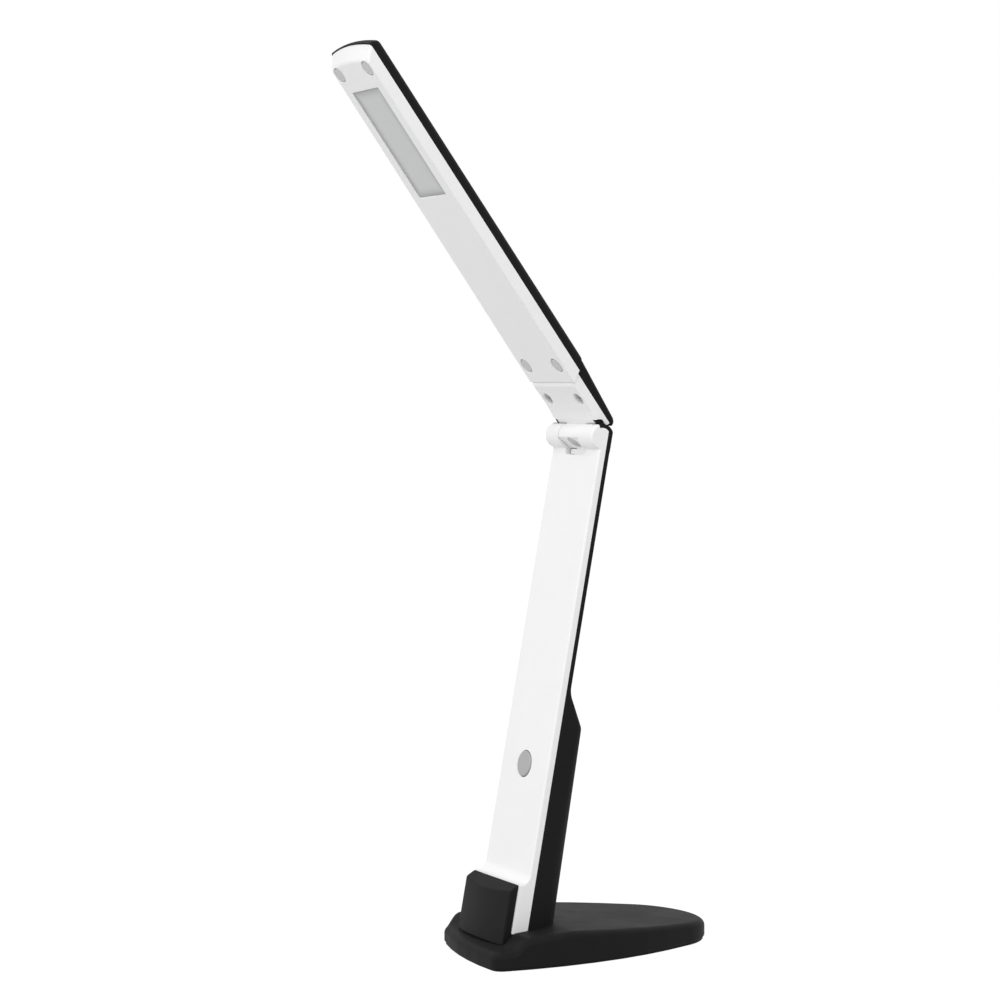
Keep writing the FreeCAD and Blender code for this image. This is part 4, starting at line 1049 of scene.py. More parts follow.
@dataclass
class Arm(SubAssembly):
    """Leaning arm: white front with the hinge barrel, black back with the housing, block at its foot."""

    half: float = 20.0
    white: float = 3.0
    black: float = 5.1
    wall: float = 1.4
    edge: float = 0.9
    edge_margin: float = 0.2
    flare: float = 4.5
    flare_foot: float = 32.9
    knuckle: float = 5.4
    barrel_fillet: float = 0.7
    slot_half: float = 8.6
    slot_foot: float = 215.6
    slot_round: float = 1.6
    slot_ledge: float = 3.0
    tab_depth: float = 2.4
    tab_top: float = 218.4
    tab_gap: float = 0.5
    tab_round: float = 0.8
    root_share: float = 0.5
    root_in: float = 1.0
    root_thick: float = 0.5
    pocket_top: float = 212.6
    pocket_round: float = 1.0
    pin: float = 1.55
    pin_wall: float = 3.0
    cowl_angle: float = 116.0
    cowl_short: float = 84.0
    cowl_end: float = 15.0
    cowl_thick: float = 1.5
    cowl_gap: float = 0.2
    cowl_seat: float = 0.5
    cowl_lap: float = 0.1
    rear_wall: float = 1.6
    hollow_depth: float = 0.2
    hollow_round: float = 0.4
    bulge_top: float = 115.0
    bulge_shoulder: float = 101.0
    bulge_depth: float = 14.8
    foot_depth: float = 20.2
    bulge_round: float = 4.0
    foot_round: float = 12.0
    strip_round: float = 0.3
    neck_round: float = 9.0
    shoulder_round: float = 5.0
    housing_floor: float = 18.0
    base_top: float = 12.6
    upstand_foot: float = 8.4
    upstand_half: float = 20.0
    upstand_depth: float = 5.8
    upstand_bow: float = 2.2
    upstand_drop: float = 4.9
    upstand_round: float = 0.7
    door_half: float = 14.6
    door_foot: float = 26.0
    door_top: float = 79.0
    door_clear: float = 0.2
    door_round: float = 0.6
    door_edge: float = 0.35
    door_reach: float = 3.0
    door_screw: float = 76.5
    screw_x: float = 14.5
    screw_heights: Point = (122.0, 206.0)
    sink: float = 2.1
    sink_depth: float = 0.75
    sink_lip: float = 0.2
    button_along: float = 82.0
    button_hole: float = 5.7
    button_lip: float = 0.3
    button_radius: float = 5.4
    button_proud: float = 0.6
    button_round: float = 0.55
    button_flange: float = 7.2
    button_rim: float = 0.9
    button_back: float = 2.5

    @property
    def axis(self) -> Point:
        """Depth of the hinge pin and its height along the arm."""
        return FRAMES.hinge_depth, FRAMES.hinge_along

    def foot(self, depth: float) -> float:
        """Where the base's top lies along the arm, at a depth behind its front."""
        return (self.base_top + depth * math.sin(FRAMES.lean)) / math.cos(FRAMES.lean)

    def slot(self, foot: float) -> Solid:
        """Cutter of the slot for the middle knuckle, from its foot up."""
        high = FRAMES.hinge_along + self.knuckle + OVERRUN
        outline = rectangle(self.slot_half, foot, high, self.slot_round)
        return Solid.drawn(outline, -self.half, self.half, Along.Y)

    def front_outline(self) -> list[Point]:
        """Side view of the white cover: flared foot, flat front, barrel and the step for the black cowl.

        Returns:
            Its points, depth and height.
        """
        axis = self.axis
        reach = self.knuckle + self.barrel_fillet
        low = axis[1] - math.sqrt(reach ** 2 - (axis[0] + self.barrel_fillet) ** 2)
        touch = math.atan2(axis[1] - low, axis[0] + self.barrel_fillet)
        inner = self.knuckle - self.cowl_thick - self.cowl_gap
        back = math.acos((self.white - axis[0]) / inner)
        start = math.radians(self.cowl_angle) + self.cowl_gap / self.knuckle
        flare = arc_points((-self.flare, self.flare_foot + self.flare), self.flare, -math.pi / 2.0, 0.0)
        return [
            (self.white, self.foot(self.white)), *arc_points(axis, inner, back, start),
            *arc_points(axis, self.knuckle, start, math.pi + touch),
            *reversed(arc_points((-self.barrel_fillet, low), self.barrel_fillet, 0.0, touch)),
            *reversed(flare), (-self.flare, self.foot(-self.flare))]

    def front_cover(self) -> None:
        """White channel with the slot for the middle knuckle and the button's hole."""
        cover = Solid.drawn(self.front_outline(), -self.half, self.half, Along.X)
        pocket = rectangle(self.half - self.wall, -OVERRUN, self.pocket_top, self.pocket_round)
        inside = Solid.drawn(pocket, self.wall, self.white + OVERRUN, Along.Y)
        pin_end = self.half - self.pin_wall
        bore = Solid.rod(self.pin, -pin_end, pin_end, self.axis)
        mouth = hole(circle((0.0, self.button_along), self.button_hole), 0.0, OVERRUN, self.button_lip)
        cover.cut(inside, self.slot(self.slot_foot), bore, mouth)
        tab_half, tab_foot = self.slot_half - self.tab_gap, self.slot_foot + self.tab_gap
        fill = rectangle(tab_half, tab_foot, self.tab_top, self.tab_round)
        tab = Solid.drawn(fill, self.tab_depth, self.white, Along.Y)
        root_half = self.root_share * self.slot_half
        hold = rectangle(root_half, self.slot_foot - self.root_in, self.tab_top - self.root_in)
        root = Solid.drawn(hold, self.white - self.root_thick, self.white, Along.Y)
        cover.join(tab, root)
        axis = Vector(self.axis)

        def outer(spot: Vector) -> bool:
            """Whether a point lies on a long edge in front, and not on the step under the cowl."""
            return (abs(spot.x) > self.half - TINY and spot.y < self.white - TINY
                    and (spot.yz - axis).length > self.knuckle - self.edge_margin)

        cover.soften(self.edge, segments=4, where=outer)
        self.keep(cover, "arm_front_cover", WHITE, FRAMES.arm)

    def back_line(self) -> list[Point]:
        """Side view of the black back, with rounded bends.

        Returns:
            Depth and height of its points, from the foot up.
        """
        foot, head = self.foot(self.foot_depth), FRAMES.hinge_along - self.knuckle
        return rounded([
            (self.depth_at(foot), foot, 0.0), (self.bulge_depth, self.bulge_shoulder, self.shoulder_round),
            (self.black, self.bulge_top, self.neck_round), (self.black, head, 0.0)], closed=False)

    def depth_at(self, height: float) -> float:
        """Depth of the housing's back at a height below its shoulder."""
        return self.foot_depth + (self.bulge_depth - self.foot_depth) * height / self.bulge_shoulder

    def curve_at(self, depth: float) -> float:
        """Radius of the back's long edges: small on the strip, wide at the housing's foot.

        Args:
            depth: how deep the back is there.

        Returns:
            The radius.
        """
        share = held((depth - self.black) / (self.bulge_depth - self.black))
        low = held((depth - self.bulge_depth) / (self.foot_depth - self.bulge_depth))
        return (self.strip_round + (self.bulge_round - self.strip_round) * share
                + (self.foot_round - self.bulge_round) * low)

    def housing(self) -> Solid:
        """Outer form of the black back below the barrel.

        Returns:
            The solid, with its foot on the base's top.
        """
        rings = [[Vector((x, y, height)) for x, y in bay(self.half, self.white, depth, self.curve_at(depth))]
                 for depth, height in self.back_line()]
        rings[0] = [Vector((spot.x, spot.y, self.foot(spot.y))) for spot in rings[0]]
        return Solid(rings)

    def rear_cover(self) -> None:
        """Black strip that wraps over the barrel above and swells into the battery housing below."""
        line, axis = self.back_line(), self.axis
        hollow = []
        for depth, height in [(line[0][0], self.housing_floor), *line[1:]]:
            deep = max(self.white + self.hollow_depth, depth - self.rear_wall)
            corner = max(self.hollow_round, self.curve_at(depth) - self.rear_wall)
            if height <= self.bulge_top:
                hollow.append((bay(self.half - self.rear_wall, self.white - OVERRUN, deep, corner), height))
        cover = self.housing().cut(Solid.stacked(hollow, Along.Z))
        inner, outer = self.knuckle - self.cowl_thick, self.knuckle
        back_in = math.acos((self.white - axis[0]) / inner)
        back_out = math.acos((self.black - axis[0]) / outer)
        seat = axis[1] - self.knuckle - self.cowl_seat
        lap = self.cowl_end + self.cowl_lap
        for low, high, angle in ((-self.half, -self.cowl_end, self.cowl_angle),
                                 (self.cowl_end, self.half, self.cowl_angle), (-lap, lap, self.cowl_short)):
            start = math.radians(angle)
            cap = [(self.white, seat), (self.black, seat), *arc_points(axis, outer, back_out, start),
                   *reversed(arc_points(axis, inner, back_in, start))]
            cover.join(Solid.drawn(cap, low, high, Along.X))
        doorway = rectangle(self.door_half, self.door_foot, self.door_top, self.door_round)
        opening = Solid.drawn(doorway, self.black + self.door_reach, self.foot_depth + OVERRUN, Along.Y)
        places = [circle((spot.x, spot.z), self.sink) for spot in self.screws()]
        sinks = [hole(place, self.black, self.sink_depth, self.sink_lip, inward=-1.0) for place in places]
        cover.cut(opening, self.slot(self.slot_foot + self.slot_ledge), *sinks)
        self.keep(cover, "arm_rear_cover", BLACK, FRAMES.arm)

    def screws(self) -> list[Vector]:
        """Seats of the four screws in the back."""
        return [Vector((side * self.screw_x, self.black - self.sink_depth, height))
                for side in BOTH_SIDES for height in self.screw_heights]

    def upstand(self) -> None:
        """Black block before the foot, with a bowed front and a top that slopes down to it."""
        back, front, half = -self.flare, -self.flare - self.upstand_depth, self.upstand_half
        low = self.foot(front) - self.base_top + self.upstand_foot
        crown = self.flare_foot - self.upstand_drop
        side = [(back, low), (back, self.flare_foot), (front, crown), (front, low)]
        block = Solid.drawn(side, -half, half, Along.X)
        bow = front + self.upstand_bow
        plan = [(-half, back), *arc_through((-half, bow), (0.0, front), (half, bow)), (half, back)]
        block.keep_inside(Solid.drawn(plan, low - OVERRUN, self.flare_foot + OVERRUN, Along.Z))
        self.keep(block.soften(self.upstand_round), "front_upstand", BLACK, FRAMES.arm)

    def door(self) -> None:
        """Flush battery door in the housing's back."""
        layers = []
        half, outer = self.door_half - self.door_clear, self.foot_depth + OVERRUN
        for height in (self.door_foot + self.door_clear, self.door_top - self.door_clear):
            inner = self.depth_at(height) - self.rear_wall
            layers.append((rectangle(half, inner, outer), height))
        door = Solid.stacked(layers, Along.Z).keep_inside(self.housing()).soften(self.door_edge)
        place = circle((0.0, self.door_screw), self.sink)
        door.cut(hole(place, self.depth_at(self.door_screw), self.sink_depth, self.sink_lip, inward=-1.0))
        self.keep(door, "battery_door", BLACK, FRAMES.arm)

    def button(self) -> None:
        """Round cap with a flange behind the white cover."""
        step, front, radius = self.button_back - self.button_rim, -self.button_proud, self.button_radius
        side = rounded([(0.0, front, 0.0), (radius, front, self.button_round), (radius, step, 0.0)],
                       closed=False)
        flange = [(self.button_flange, step), (self.button_flange, self.button_back)]
        cap = Solid.turned(side + flange, (0.0, self.button_along), Along.Y)
        self.keep(cap, "power_button", GREY, FRAMES.arm, Body.BUTTON)

    def build(self) -> None:
        """All the arm's pieces."""
        self.front_cover()
        self.rear_cover()
        self.upstand()
        self.door()
        self.button()


@dataclass
class Neck(SubAssembly):
    """Short neck between hinge and head."""

    body: Body = Body.HEAD
    face: float = 2.8
    half: float = 17.4
    flare: float = 1.1
    face_round: float = 0.7
    white: float = 4.0
    thick: float = 7.3
    taper: float = 0.076
    back_round: float = 2.4
    foot: float = 2.0
    hood_foot: float = 0.4
    hood: float = 4.4
    seam_at: float = 25.8
    seam_slant: float = 35.0
    seam_gap: float = 0.3
    seam_bevel: Point = (0.4, 0.8)
    proud: float = 0.35
    scoop: float = 0.65
    scoop_half: float = 8.6
    scoop_middle: float = 15.6
    recess_face: float = 0.2
    knuckle: float = 5.4
    knuckle_half: float = 8.35
    knuckle_edge: float = 0.3
    hug: float = 5.43
    arch: float = 7.3
    arch_depth: float = 2.3
    arch_half: float = 15.2
    ear_gap: float = 0.03
    hood_edge: float = 0.25
    web_top: float = 8.0
    web_in: float = 0.05
    clamp_turn: float = 15.0
    clamp_flat: float = 3.7
    clamp_sink: float = 3.4
    clamp_depth: float = 1.0
    clamp_lip: float = 0.2
    pin: float = 1.55
    screw_x: float = 13.0
    screw_z: float = 17.2
    recess: float = 2.75
    recess_depth: float = 2.6
    recess_lip: float = 0.5

    def seam(self, depth: float, side: float) -> float:
        """Height of the slanted seam at a depth, half a gap below or above its middle."""
        return (self.seam_at + (depth - self.face) * math.tan(math.radians(self.seam_slant))
                + side * self.seam_gap / 2.0)

    def back_at(self, height: float) -> float:
        """Depth of the black back at a height; it comes nearer to the pin below."""
        return self.face + self.thick + self.taper * height

    def screws(self) -> list[Vector]:
        """Seats of the two screws at the bottom of their recesses."""
        depth = self.face + self.recess_face + self.recess_depth
        return [Vector((side * self.screw_x, depth, self.screw_z)) for side in BOTH_SIDES]

    def clamp(self) -> Matrix:
        """Turn of the clamp's flat about the hinge pin."""
        return Matrix.Rotation(math.radians(self.clamp_turn), 4, "X")

    def ear(self, side: float, radius: float, end: float, inner: float) -> Solid:
        """Black half moon over the barrel in a corner of the face, or the room for it.

        Args:
            side: 1 for the right corner, -1 for the left one.
            radius: its radius about the pin.
            end: how far from the middle it ends.
            inner: where it starts about the pin.

        Returns:
            The solid.
        """
        ends = sorted((side * self.arch_half, side * end))
        made = Solid.rod(radius, ends[0], ends[1])
        made.cut(Solid.rod(inner, -end - OVERRUN, end + OVERRUN))
        deep, low, high = self.face + self.arch_depth, self.foot, radius + OVERRUN
        first = self.face - (OVERRUN if end > self.half else 0.0)
        room = [(first, low), (deep, low), (deep, high), (first, high)]
        return made.keep_inside(Solid.drawn(room, -end - OVERRUN, end + OVERRUN, Along.X))

    def lower(self) -> None:
        """White neck with the middle knuckle, its clamp flat and the deep screw recesses."""
        part, wide = self.face + self.white, self.half + self.flare
        front, past = self.face - self.proud, self.half + OVERRUN
        plan = rounded([(-self.half, front, self.face_round), (self.half, front, self.face_round),
                        (wide, part, 0.0), (-wide, part, 0.0)])
        body = Solid([[Vector((x, y, self.foot)) for x, y in plan],
                      [Vector((x, y, self.seam(y, BELOW))) for x, y in plan]])
        deep, tall = self.seam_bevel
        start, end = (front, self.seam(front, BELOW) - tall), (front + deep, self.seam(front + deep, BELOW))
        run = (end[0] - start[0], end[1] - start[1])
        wedge = [(start[0] - run[0], start[1] - run[1]), (end[0] + run[0], end[1] + run[1]),
                 (start[0] - run[0], end[1] + run[1])]
        body.cut(Solid.drawn(wedge, -past, past, Along.X))
        sweep = (self.scoop_half ** 2 + self.scoop ** 2) / (2.0 * self.scoop)
        body.cut(Solid.rod(sweep, -past, past, (front + self.scoop - sweep, self.scoop_middle)))
        body.cut(Solid.rod(self.hug, -past, past))
        for side in BOTH_SIDES:
            body.cut(self.ear(side, self.arch, past, self.knuckle))
        ring = Solid.rod(self.knuckle, -self.knuckle_half, self.knuckle_half)
        ring.soften(self.knuckle_edge, segments=2)
        web_half = self.knuckle_half - self.web_in
        web = Solid.drawn([(self.face, 0.0), (part, 0.0), (part, self.web_top), (self.face, self.web_top)],
                          -web_half, web_half, Along.X)
        body.join(ring, web)
        room = rectangle(self.half, -self.half, self.knuckle + OVERRUN)
        flat = Solid.drawn(room, -self.half, -self.clamp_flat, Along.Y)
        bore = Solid.rod(self.pin, -self.half, self.half)
        sink = hole(circle((0.0, 0.0), self.clamp_sink), -self.clamp_flat, self.clamp_depth, self.clamp_lip)
        body.cut(flat.moved(self.clamp()), bore, sink.moved(self.clamp()))
        for seat in self.screws():
            mouth = circle((seat.x, seat.z), self.recess)
            body.cut(hole(mouth, self.face + self.recess_face, self.recess_depth, self.recess_lip))
        self.keep(body, "neck_lower_cover", WHITE, FRAMES.head)

    def upper(self) -> None:
        """Black back of the neck, rounded over the hinge barrel."""
        part, wide = self.face + self.white, self.half + self.flare
        crest = self.hood_foot + self.hood
        high = self.back_at(self.seam(self.back_at(self.seam_at), BELOW))
        low_plan = bay(wide, part, self.back_at(-OVERRUN), self.back_round)
        high_plan = bay(wide, part, high, self.back_round)
        body = Solid([[Vector((x, y, -OVERRUN)) for x, y in low_plan],
                      [Vector((x, y, self.seam(y, BELOW))) for x, y in high_plan]])
        rise, near, far, deep = self.back_at(crest) - part, part - OVERRUN, high + OVERRUN, -2.0 * OVERRUN
        nose = [(part + rise * math.sin(t), crest - self.hood * math.cos(t)) for t in quarter(steps=12)]
        below = [*nose, (far, crest), (far, deep), (near, deep), (near, self.hood_foot)]
        body.cut(Solid.drawn(below, -self.half - OVERRUN, self.half + OVERRUN, Along.X))
        body.soften(self.hood_edge, segments=2)
        ears = [self.ear(side, self.arch - self.ear_gap, self.half, self.hug) for side in BOTH_SIDES]
        self.keep(body.with_loose(*ears), "neck_upper_cover", BLACK, FRAMES.head)

    def build(self) -> None:
        """Both covers."""
        self.lower()
        self.upper()


NECK = Neck()


@dataclass
class Head(SubAssembly):
    """Long flat head with its light."""

    body: Body = Body.HEAD
    face: float = 2.8
    white: float = 4.6
    thick: float = 9.8
    half: float = 19.0
    tip_half: float = 17.6
    flare: float = 1.2
    face_round: float = 0.7
    back_round: float = 3.6
    end: float = 192.9
    bow: float = 2.2
    tip_slope: float = 5.7
    tip_rim: float = 0.7
    tip_corner: float = 1.6
    tip_round: float = 3.2
    tip_steps: int = 8
    side_steps: int = 3
    bow_steps: int = 12
    wall: float = 1.4
    screw_x: float = 13.2
    screw_low: float = 35.0
    screw_high: float = 182.7
    boss: float = 4.6
    boss_lap: float = 0.2
    plug: float = 3.15
    plug_round: float = 0.25
    plug_thick: float = 1.0
    plug_sink: float = 0.2
    plug_gap: float = 0.3
    lip: float = 0.4
    window_half: float = 12.1
    window_foot: float = 121.8
    window_top: float = 173.9
    window_round: float = 0.5
    window_lip: float = 0.25
    # rim_reach: how far in from the window's edge the painted rim shade reaches; the rings at rim_steps carry it.
    rim_reach: float = 5.0
    rim_steps: Sequence[float] = (3.4, 2.0, 1.0, 0.4)
    lens_round: float = 0.4
    lens_edge: float = 0.15
    lens_sink: float = 0.5
    lens_flange: float = 0.8
    lens_lip: float = 1.5
    heel_drop: float = 0.6
    heel_length: float = 5.0

    def half_at(self, height: float) -> float:
        """Half of the face's width at a height along the head."""
        share = (height - NECK.seam_at) / (self.end - NECK.seam_at)
        return self.half + (self.tip_half - self.half) * share

    def end_at(self, x: float) -> float:
        """Height of the bowed end at a place across it."""
        return self.end - self.bow * (x / (self.half + self.flare)) ** 2

    def screws(self) -> list[Point]:
        """Places of the four screws."""
        return [(side * self.screw_x, height) for height in (self.screw_low, self.screw_high)
                for side in BOTH_SIDES]

    def plan(self, spread: float, drop: float, foot: float) -> list[Point]:
        """Outline of the head at one depth, anticlockwise.

        Args:
            spread: how much wider than the face it is on each side.
            drop: how far its bowed end stays below the head's end.
            foot: where it starts along the head.

        Returns:
            Its points, x and z.
        """
        low, high = self.half_at(foot) + spread, self.half_at(self.end) + spread
        across = high - 2.0 * self.tip_corner
        bow = [(across * (1.0 - 2.0 * i / self.bow_steps), 0.0) for i in range(self.bow_steps + 1)]
        ends = [(high, self.tip_corner), *bow, (-high, self.tip_corner)]
        corners = [(x, self.end_at(x) - drop, radius) for x, radius in ends]
        return rounded([(-low, foot, 0.0), (low, foot, 0.0), *corners], steps=self.tip_steps)

    def lower(self) -> None:
        """White tray with the light's window, a sloped tip and four plugged screw holes."""
        part = self.face + self.white

        def layer(depth: float, drawn_in: float) -> tuple[Profile, float]:
            """The tray's outline at a depth.

            Args:
                depth: the depth.
                drawn_in: how far the rounded face draws it in.

            Returns:
                The outline and the depth.
            """
            rise = (depth - self.face) / self.white
            drop = self.tip_slope + (self.tip_rim - self.tip_slope) * rise
            return inset(self.plan(self.flare * rise, drop, NECK.seam(depth, ABOVE)), drawn_in), depth

        curve = self.face_round
        layers = [layer(self.face + curve * (1.0 - math.cos(t)), curve * (1.0 - math.sin(t)))
                  for t in quarter(steps=4)]
        body = Solid.stacked([*layers, layer(part, 0.0)], Along.Y)
        low, high = NECK.seam(part, ABOVE) + self.wall, self.end - self.tip_slope - self.bow - self.wall
        room = [(rectangle(self.half_at(z) - self.wall, self.face + self.wall, part + OVERRUN), z)
                for z in (low, high)]
        body.cut(Solid.stacked(room, Along.Z))
        window = rectangle(self.window_half, self.window_foot, self.window_top, self.window_round)
        body.cut(hole(window, self.face, OVERRUN, self.window_lip))
        for spot in self.screws():
            body.join(Solid.rod(self.boss, self.face + self.wall - self.boss_lap, part, spot, Along.Y))
            mouth = circle(spot, self.plug + self.plug_gap)
            body.cut(hole(mouth, self.face, self.plug_thick + self.plug_sink, self.lip))
        self.keep(body, "head_lower_cover", WHITE, FRAMES.head)

    def upper(self) -> None:
        """Black back with rounded long edges, a bowed end and a heel that drops to the neck."""
        part, top = self.face + self.white, self.face + self.thick

        def layer(depth: float, turn: float) -> tuple[Profile, float]:
            """The back's outline at a depth.

            Args:
                depth: the depth.
                turn: how far its long edges have turned in, in radians.

            Returns:
                The outline and the depth.
            """
            heel = self.heel_length * max(0.0, 1.0 - (top - depth) / self.heel_drop)
            spread = self.flare - self.back_round * (1.0 - math.cos(turn))
            share = min(1.0, (depth - part) / (top - part))
            drop = self.tip_round * (1.0 - math.sqrt(1.0 - share ** 2))
            return self.plan(spread, drop, NECK.seam(depth, ABOVE) + heel), depth

        layers = [layer(top - self.back_round * (1.0 - math.sin(t)), t) for t in quarter(steps=9)]
        straight = self.thick - self.white - self.back_round
        walls = [layer(part + straight * i / self.side_steps, 0.0) for i in range(self.side_steps)]
        body = Solid.stacked([*walls, *layers], Along.Y)
        room = []
        for z in (NECK.seam(top, ABOVE) + self.heel_length, self.end - self.bow - self.tip_round):
            wide = self.half_at(z) + self.flare - self.wall
            room.append((bay(wide, part - OVERRUN, top - self.wall, self.back_round - self.wall), z))
        self.keep(body.cut(Solid.stacked(room, Along.Z)), "head_upper_cover", BLACK, FRAMES.head)

    def plugs(self) -> None:
        """Grey discs over the screws."""
        front = self.face + self.plug_sink
        side = rounded([(0.0, front, 0.0), (self.plug, front, self.plug_round),
                        (self.plug, front + self.plug_thick, 0.0)], closed=False)
        discs = [Solid.turned(side, spot, Along.Y) for spot in self.screws()]
        self.keep(discs[0].with_loose(*discs[1:]), "screw_plugs", PLUG, FRAMES.head)

    def lens(self) -> None:
        """Milky window that sits a little below the face."""
        seat, front = self.face + self.wall, self.face + self.lens_sink
        half, low, high = self.window_half, self.window_foot, self.window_top

        def pane(far: float) -> list[Point]:
            """The window's outline, drawn in by a distance."""
            return rectangle(half - far, low + far, high - far, self.lens_round)

        brim = pane(-self.lens_lip)
        layers = [(pane(far), front) for far in (self.rim_reach, *self.rim_steps)]
        layers += [(pane(0.0), front + self.lens_edge), (pane(0.0), seat), (brim, seat),
                   (brim, seat + self.lens_flange)]
        piece = Solid.stacked(layers, Along.Y)
        # Painted shade: the rim attribute is 1 at the window's edge and fades to 0 at rim_reach, darkening the
        # lens there.
        rim = piece.item.data.attributes.new("rim", "FLOAT", "POINT")
        for vertex, entry in zip(piece.item.data.vertices, rim.data):
            x, _, z = vertex.co
            near = min(half - abs(x), z - low, high - z)
            entry.value = max(0.0, 1.0 - max(0.0, near) / self.rim_reach) ** 2
        self.keep(piece, "diffuser", LENS, FRAMES.head)

    def build(self) -> None:
        """Covers, plugs and lens."""
        self.lower()
        self.upper()
        self.plugs()
        self.lens()


@dataclass
class ScrewSet(SubAssembly):
    """Equal screws with rounded heads and cross recesses."""

    node: str
    seats: Sequence[Vector]
    placement: Matrix
    facing: float
    head_radius: float
    head: float
    shank: float
    length: float
    body: Body = Body.STAND
    recess_share: float = 0.62
    recess_depth_share: float = 0.6
    slot_share: float = 0.2
    slot_round: float = 0.05
    crown_round_share: float = 0.3

    def build(self) -> None:
        """All screws of the set as one mesh."""
        made = [self._screw(seat) for seat in self.seats]
        self.keep(made[0].with_loose(*made[1:]), self.node, SCREW, self.placement)

    def _screw(self, seat: Vector) -> Solid:
        """One screw; its head stands on its seat towards the side that it faces.

        Args:
            seat: where its head meets the piece that it holds.

        Returns:
            The screw.
        """
        out = self.facing
        crown = seat.y + out * self.head
        side = rounded([(0.0, crown, 0.0), (self.head_radius, crown, self.crown_round_share * self.head),
                        (self.head_radius, seat.y, 0.0)], closed=False)
        side += [(self.shank, seat.y), (self.shank, seat.y - out * self.length)]
        screw = Solid.turned(side, (seat.x, seat.z), Along.Y)
        reach, thick = self.head_radius * self.recess_share, self.head_radius * self.slot_share / 2.0
        if not reach:
            return screw
        for wide, tall in ((reach, thick), (thick, reach)):
            outline = [(seat.x + x, seat.z + z) for x, z in rectangle(wide, -tall, tall, self.slot_round)]
            low, high = sorted((crown - out * self.recess_depth_share * self.head, crown + out * OVERRUN))
            screw.cut(Solid.drawn(outline, low, high, Along.Y))
        return screw


def screw_sets(base: Base, arm: Arm) -> list[ScrewSet]:
    """The screws that show: in the neck, on the clamp, in the arm's back, in the door and under the base.

    Args:
        base: the base, for its reach.
        arm: the arm, for its depths.

    Returns:
        The sets.
    """
    clamp = [Vector((0.0, -NECK.clamp_flat + NECK.clamp_depth, 0.0))]
    door = [Vector((0.0, arm.depth_at(arm.door_screw) - arm.sink_depth, arm.door_screw))]
    upright = FRAMES.ground @ Matrix.Rotation(math.pi / 2.0, 4, "X")
    return [
        ScrewSet("door_screw", door, FRAMES.arm,
                 facing=1.0, head_radius=1.8, head=0.7, shank=0.9, length=5.0),
        ScrewSet("base_screws", base.screws(), upright,
                 facing=-1.0, head_radius=2.2, head=1.0, shank=1.0, length=5.0),
        ScrewSet("neck_screws", NECK.screws(), FRAMES.head,
                 facing=-1.0, head_radius=2.3, head=1.2, shank=1.2, length=4.2, body=Body.HEAD),
        ScrewSet("hinge_clamp_screw", clamp, FRAMES.head @ NECK.clamp(),
                 facing=-1.0, head_radius=3.2, head=0.8, shank=0.9, length=0.8, body=Body.HEAD,
                 recess_share=0.0),
        ScrewSet("arm_screws", arm.screws(), FRAMES.arm,
                 facing=1.0, head_radius=1.8, head=0.7, shank=0.9, length=2.6)]


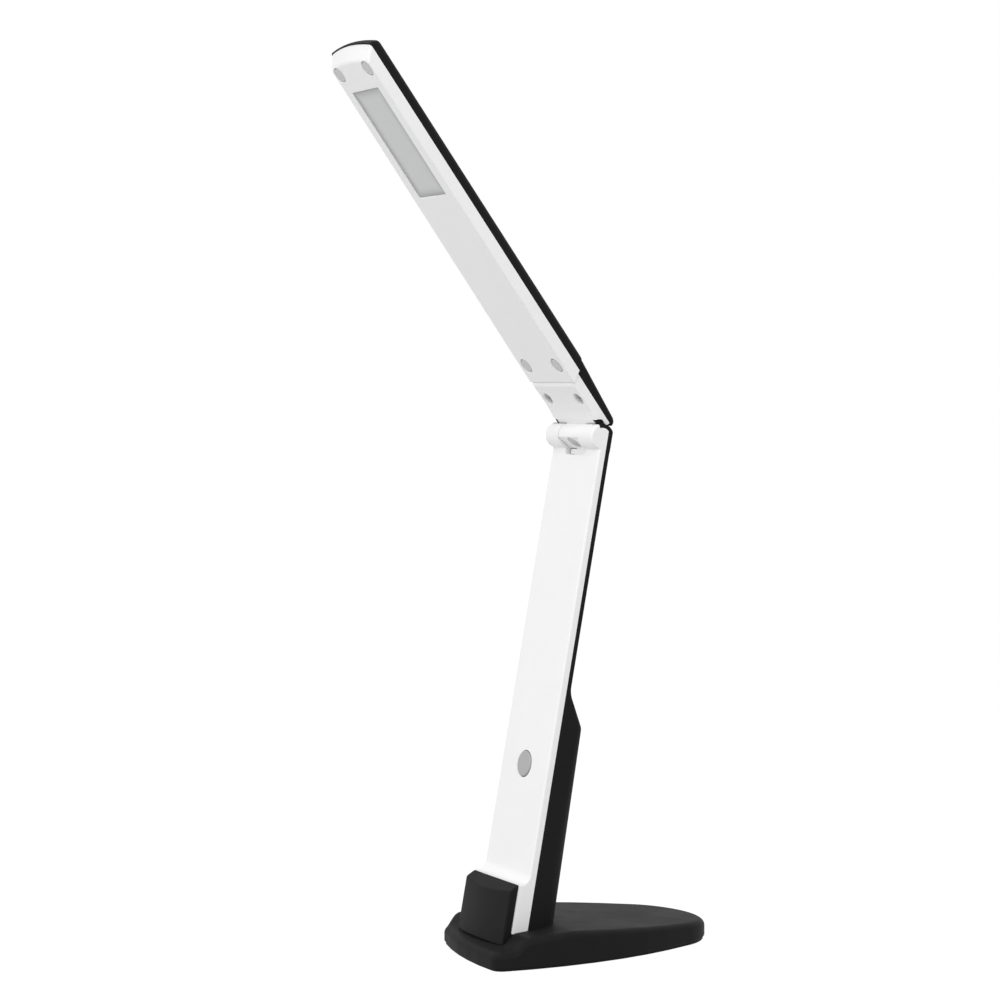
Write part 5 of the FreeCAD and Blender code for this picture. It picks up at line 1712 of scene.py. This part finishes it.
# Stage
@dataclass(frozen=True)
class Studio:
    """Floor, light and camera."""

    lens: float = 92.79
    sensor: float = 36.0
    azimuth: float = 61.67
    elevation: float = 2.6
    distance: float = 1.0873
    aim: Place = (0.0, -0.0406, 0.1932)
    floor_reach: float = 12.0
    floor_colour: Colour = (0.6, 0.6, 0.6)
    floor_glow: float = 0.86
    glow_strength: float = 1.12
    sky: float = 0.61
    lamps: Sequence[tuple[str, float, float, Place]] = (
        ("top", 2.5, 1.2, (-0.55, -1.25, 1.45)), ("front", 5.0, 1.0, (-0.3, -1.2, 0.35)),
        ("side", 11.0, 0.9, (1.3, -0.5, 1.1)))

    def camera(self) -> None:
        """The camera at the photographed angle."""
        data = bpy.data.cameras.new("camera")
        data.lens, data.sensor_width = self.lens, self.sensor
        turn, tilt = math.radians(self.azimuth), math.radians(self.elevation)
        back = Vector((math.sin(turn) * math.cos(tilt), -math.cos(turn) * math.cos(tilt), math.sin(tilt)))
        camera = bpy.data.objects.new("camera", data)
        camera.location = Vector(self.aim) + back * self.distance
        camera.rotation_mode = "QUATERNION"
        camera.rotation_quaternion = (-back).to_track_quat("-Z", "Y")
        bpy.context.scene.collection.objects.link(camera)
        bpy.context.scene.camera = camera

    @staticmethod
    def _seen(sheet: NodeSheet) -> Socket:
        """Which rays see the plain white surround.

        Args:
            sheet: the nodes of a floor or world.

        Returns:
            1 for rays from the camera, from gloss and through clear pieces.
        """
        path = sheet.add("LightPath")
        straight = sheet.math("MAXIMUM", path.outputs["Is Camera Ray"], path.outputs["Is Glossy Ray"])
        return sheet.math("MAXIMUM", straight, path.outputs["Is Transmission Ray"])

    def floor(self) -> None:
        """White floor that keeps a soft shadow."""
        grid = bmesh.new()
        bmesh.ops.create_grid(grid, x_segments=8, y_segments=8, size=self.floor_reach)
        mesh = bpy.data.meshes.new("floor")
        grid.to_mesh(mesh)
        grid.free()
        floor = bpy.data.objects.new("floor", mesh)
        bpy.context.scene.collection.objects.link(floor)
        made = bpy.data.materials.new("floor_paper")
        sheet = NodeSheet.cleared(made)
        matte = sheet.add("BsdfDiffuse", {"Color": (*self.floor_colour, 1.0)})
        glow = sheet.add("Emission", {"Color": PURE_WHITE, "Strength": self.glow_strength})
        share = sheet.math("MULTIPLY", self._seen(sheet), self.floor_glow)
        mixed = sheet.add("MixShader", {0: share, 1: matte.outputs[0], 2: glow.outputs[0]})
        sheet.add("OutputMaterial", {"Surface": mixed.outputs[0]})
        mesh.materials.append(made)

    def light(self) -> None:
        """Even white surround and soft lamps above, in front and at the side."""
        world = bpy.data.worlds.new("surround")
        sheet = NodeSheet.cleared(world)
        soft = sheet.add("Background", {"Color": PURE_WHITE, "Strength": self.sky})
        white = sheet.add("Background", {"Color": PURE_WHITE, "Strength": 1.0})
        mixed = sheet.add("MixShader", {0: self._seen(sheet), 1: soft.outputs[0], 2: white.outputs[0]})
        sheet.add("OutputWorld", {"Surface": mixed.outputs[0]})
        bpy.context.scene.world = world
        for name, power, size, place in self.lamps:
            data = bpy.data.lights.new(name, "AREA")
            data.energy, data.size = power, size
            lamp = bpy.data.objects.new(name, data)
            lamp.location = place
            lamp.rotation_mode = "QUATERNION"
            lamp.rotation_quaternion = (Vector(self.aim) - Vector(place)).to_track_quat("-Z", "Y")
            bpy.context.scene.collection.objects.link(lamp)

    def build(self) -> None:
        """Sets the stage."""
        bpy.context.scene.view_settings.view_transform = "Standard"
        self.camera()
        self.floor()
        self.light()


def dress_frame() -> None:
    """Gives every CAD node that still shows the finish of its slot."""
    for entry in frame["record"]["subparts"]:
        node = frame["nodes"][entry["node"]]
        node.data.materials.clear()
        node.data.materials.append(FINISHES[entry["material_slot"]].material())
        LOG.info("%s: %s", entry["node"], entry["material_slot"])


def main() -> None:
    """Builds the lamp's looks in order."""
    logging.basicConfig(level=logging.INFO, format="%(message)s")
    dress_frame()
    base, arm = Base(), Arm()
    for assembly in (base, arm, NECK, Head(), *screw_sets(base, arm)):
        assembly.build()
    Studio().build()


if __name__ == "__main__":
    main()
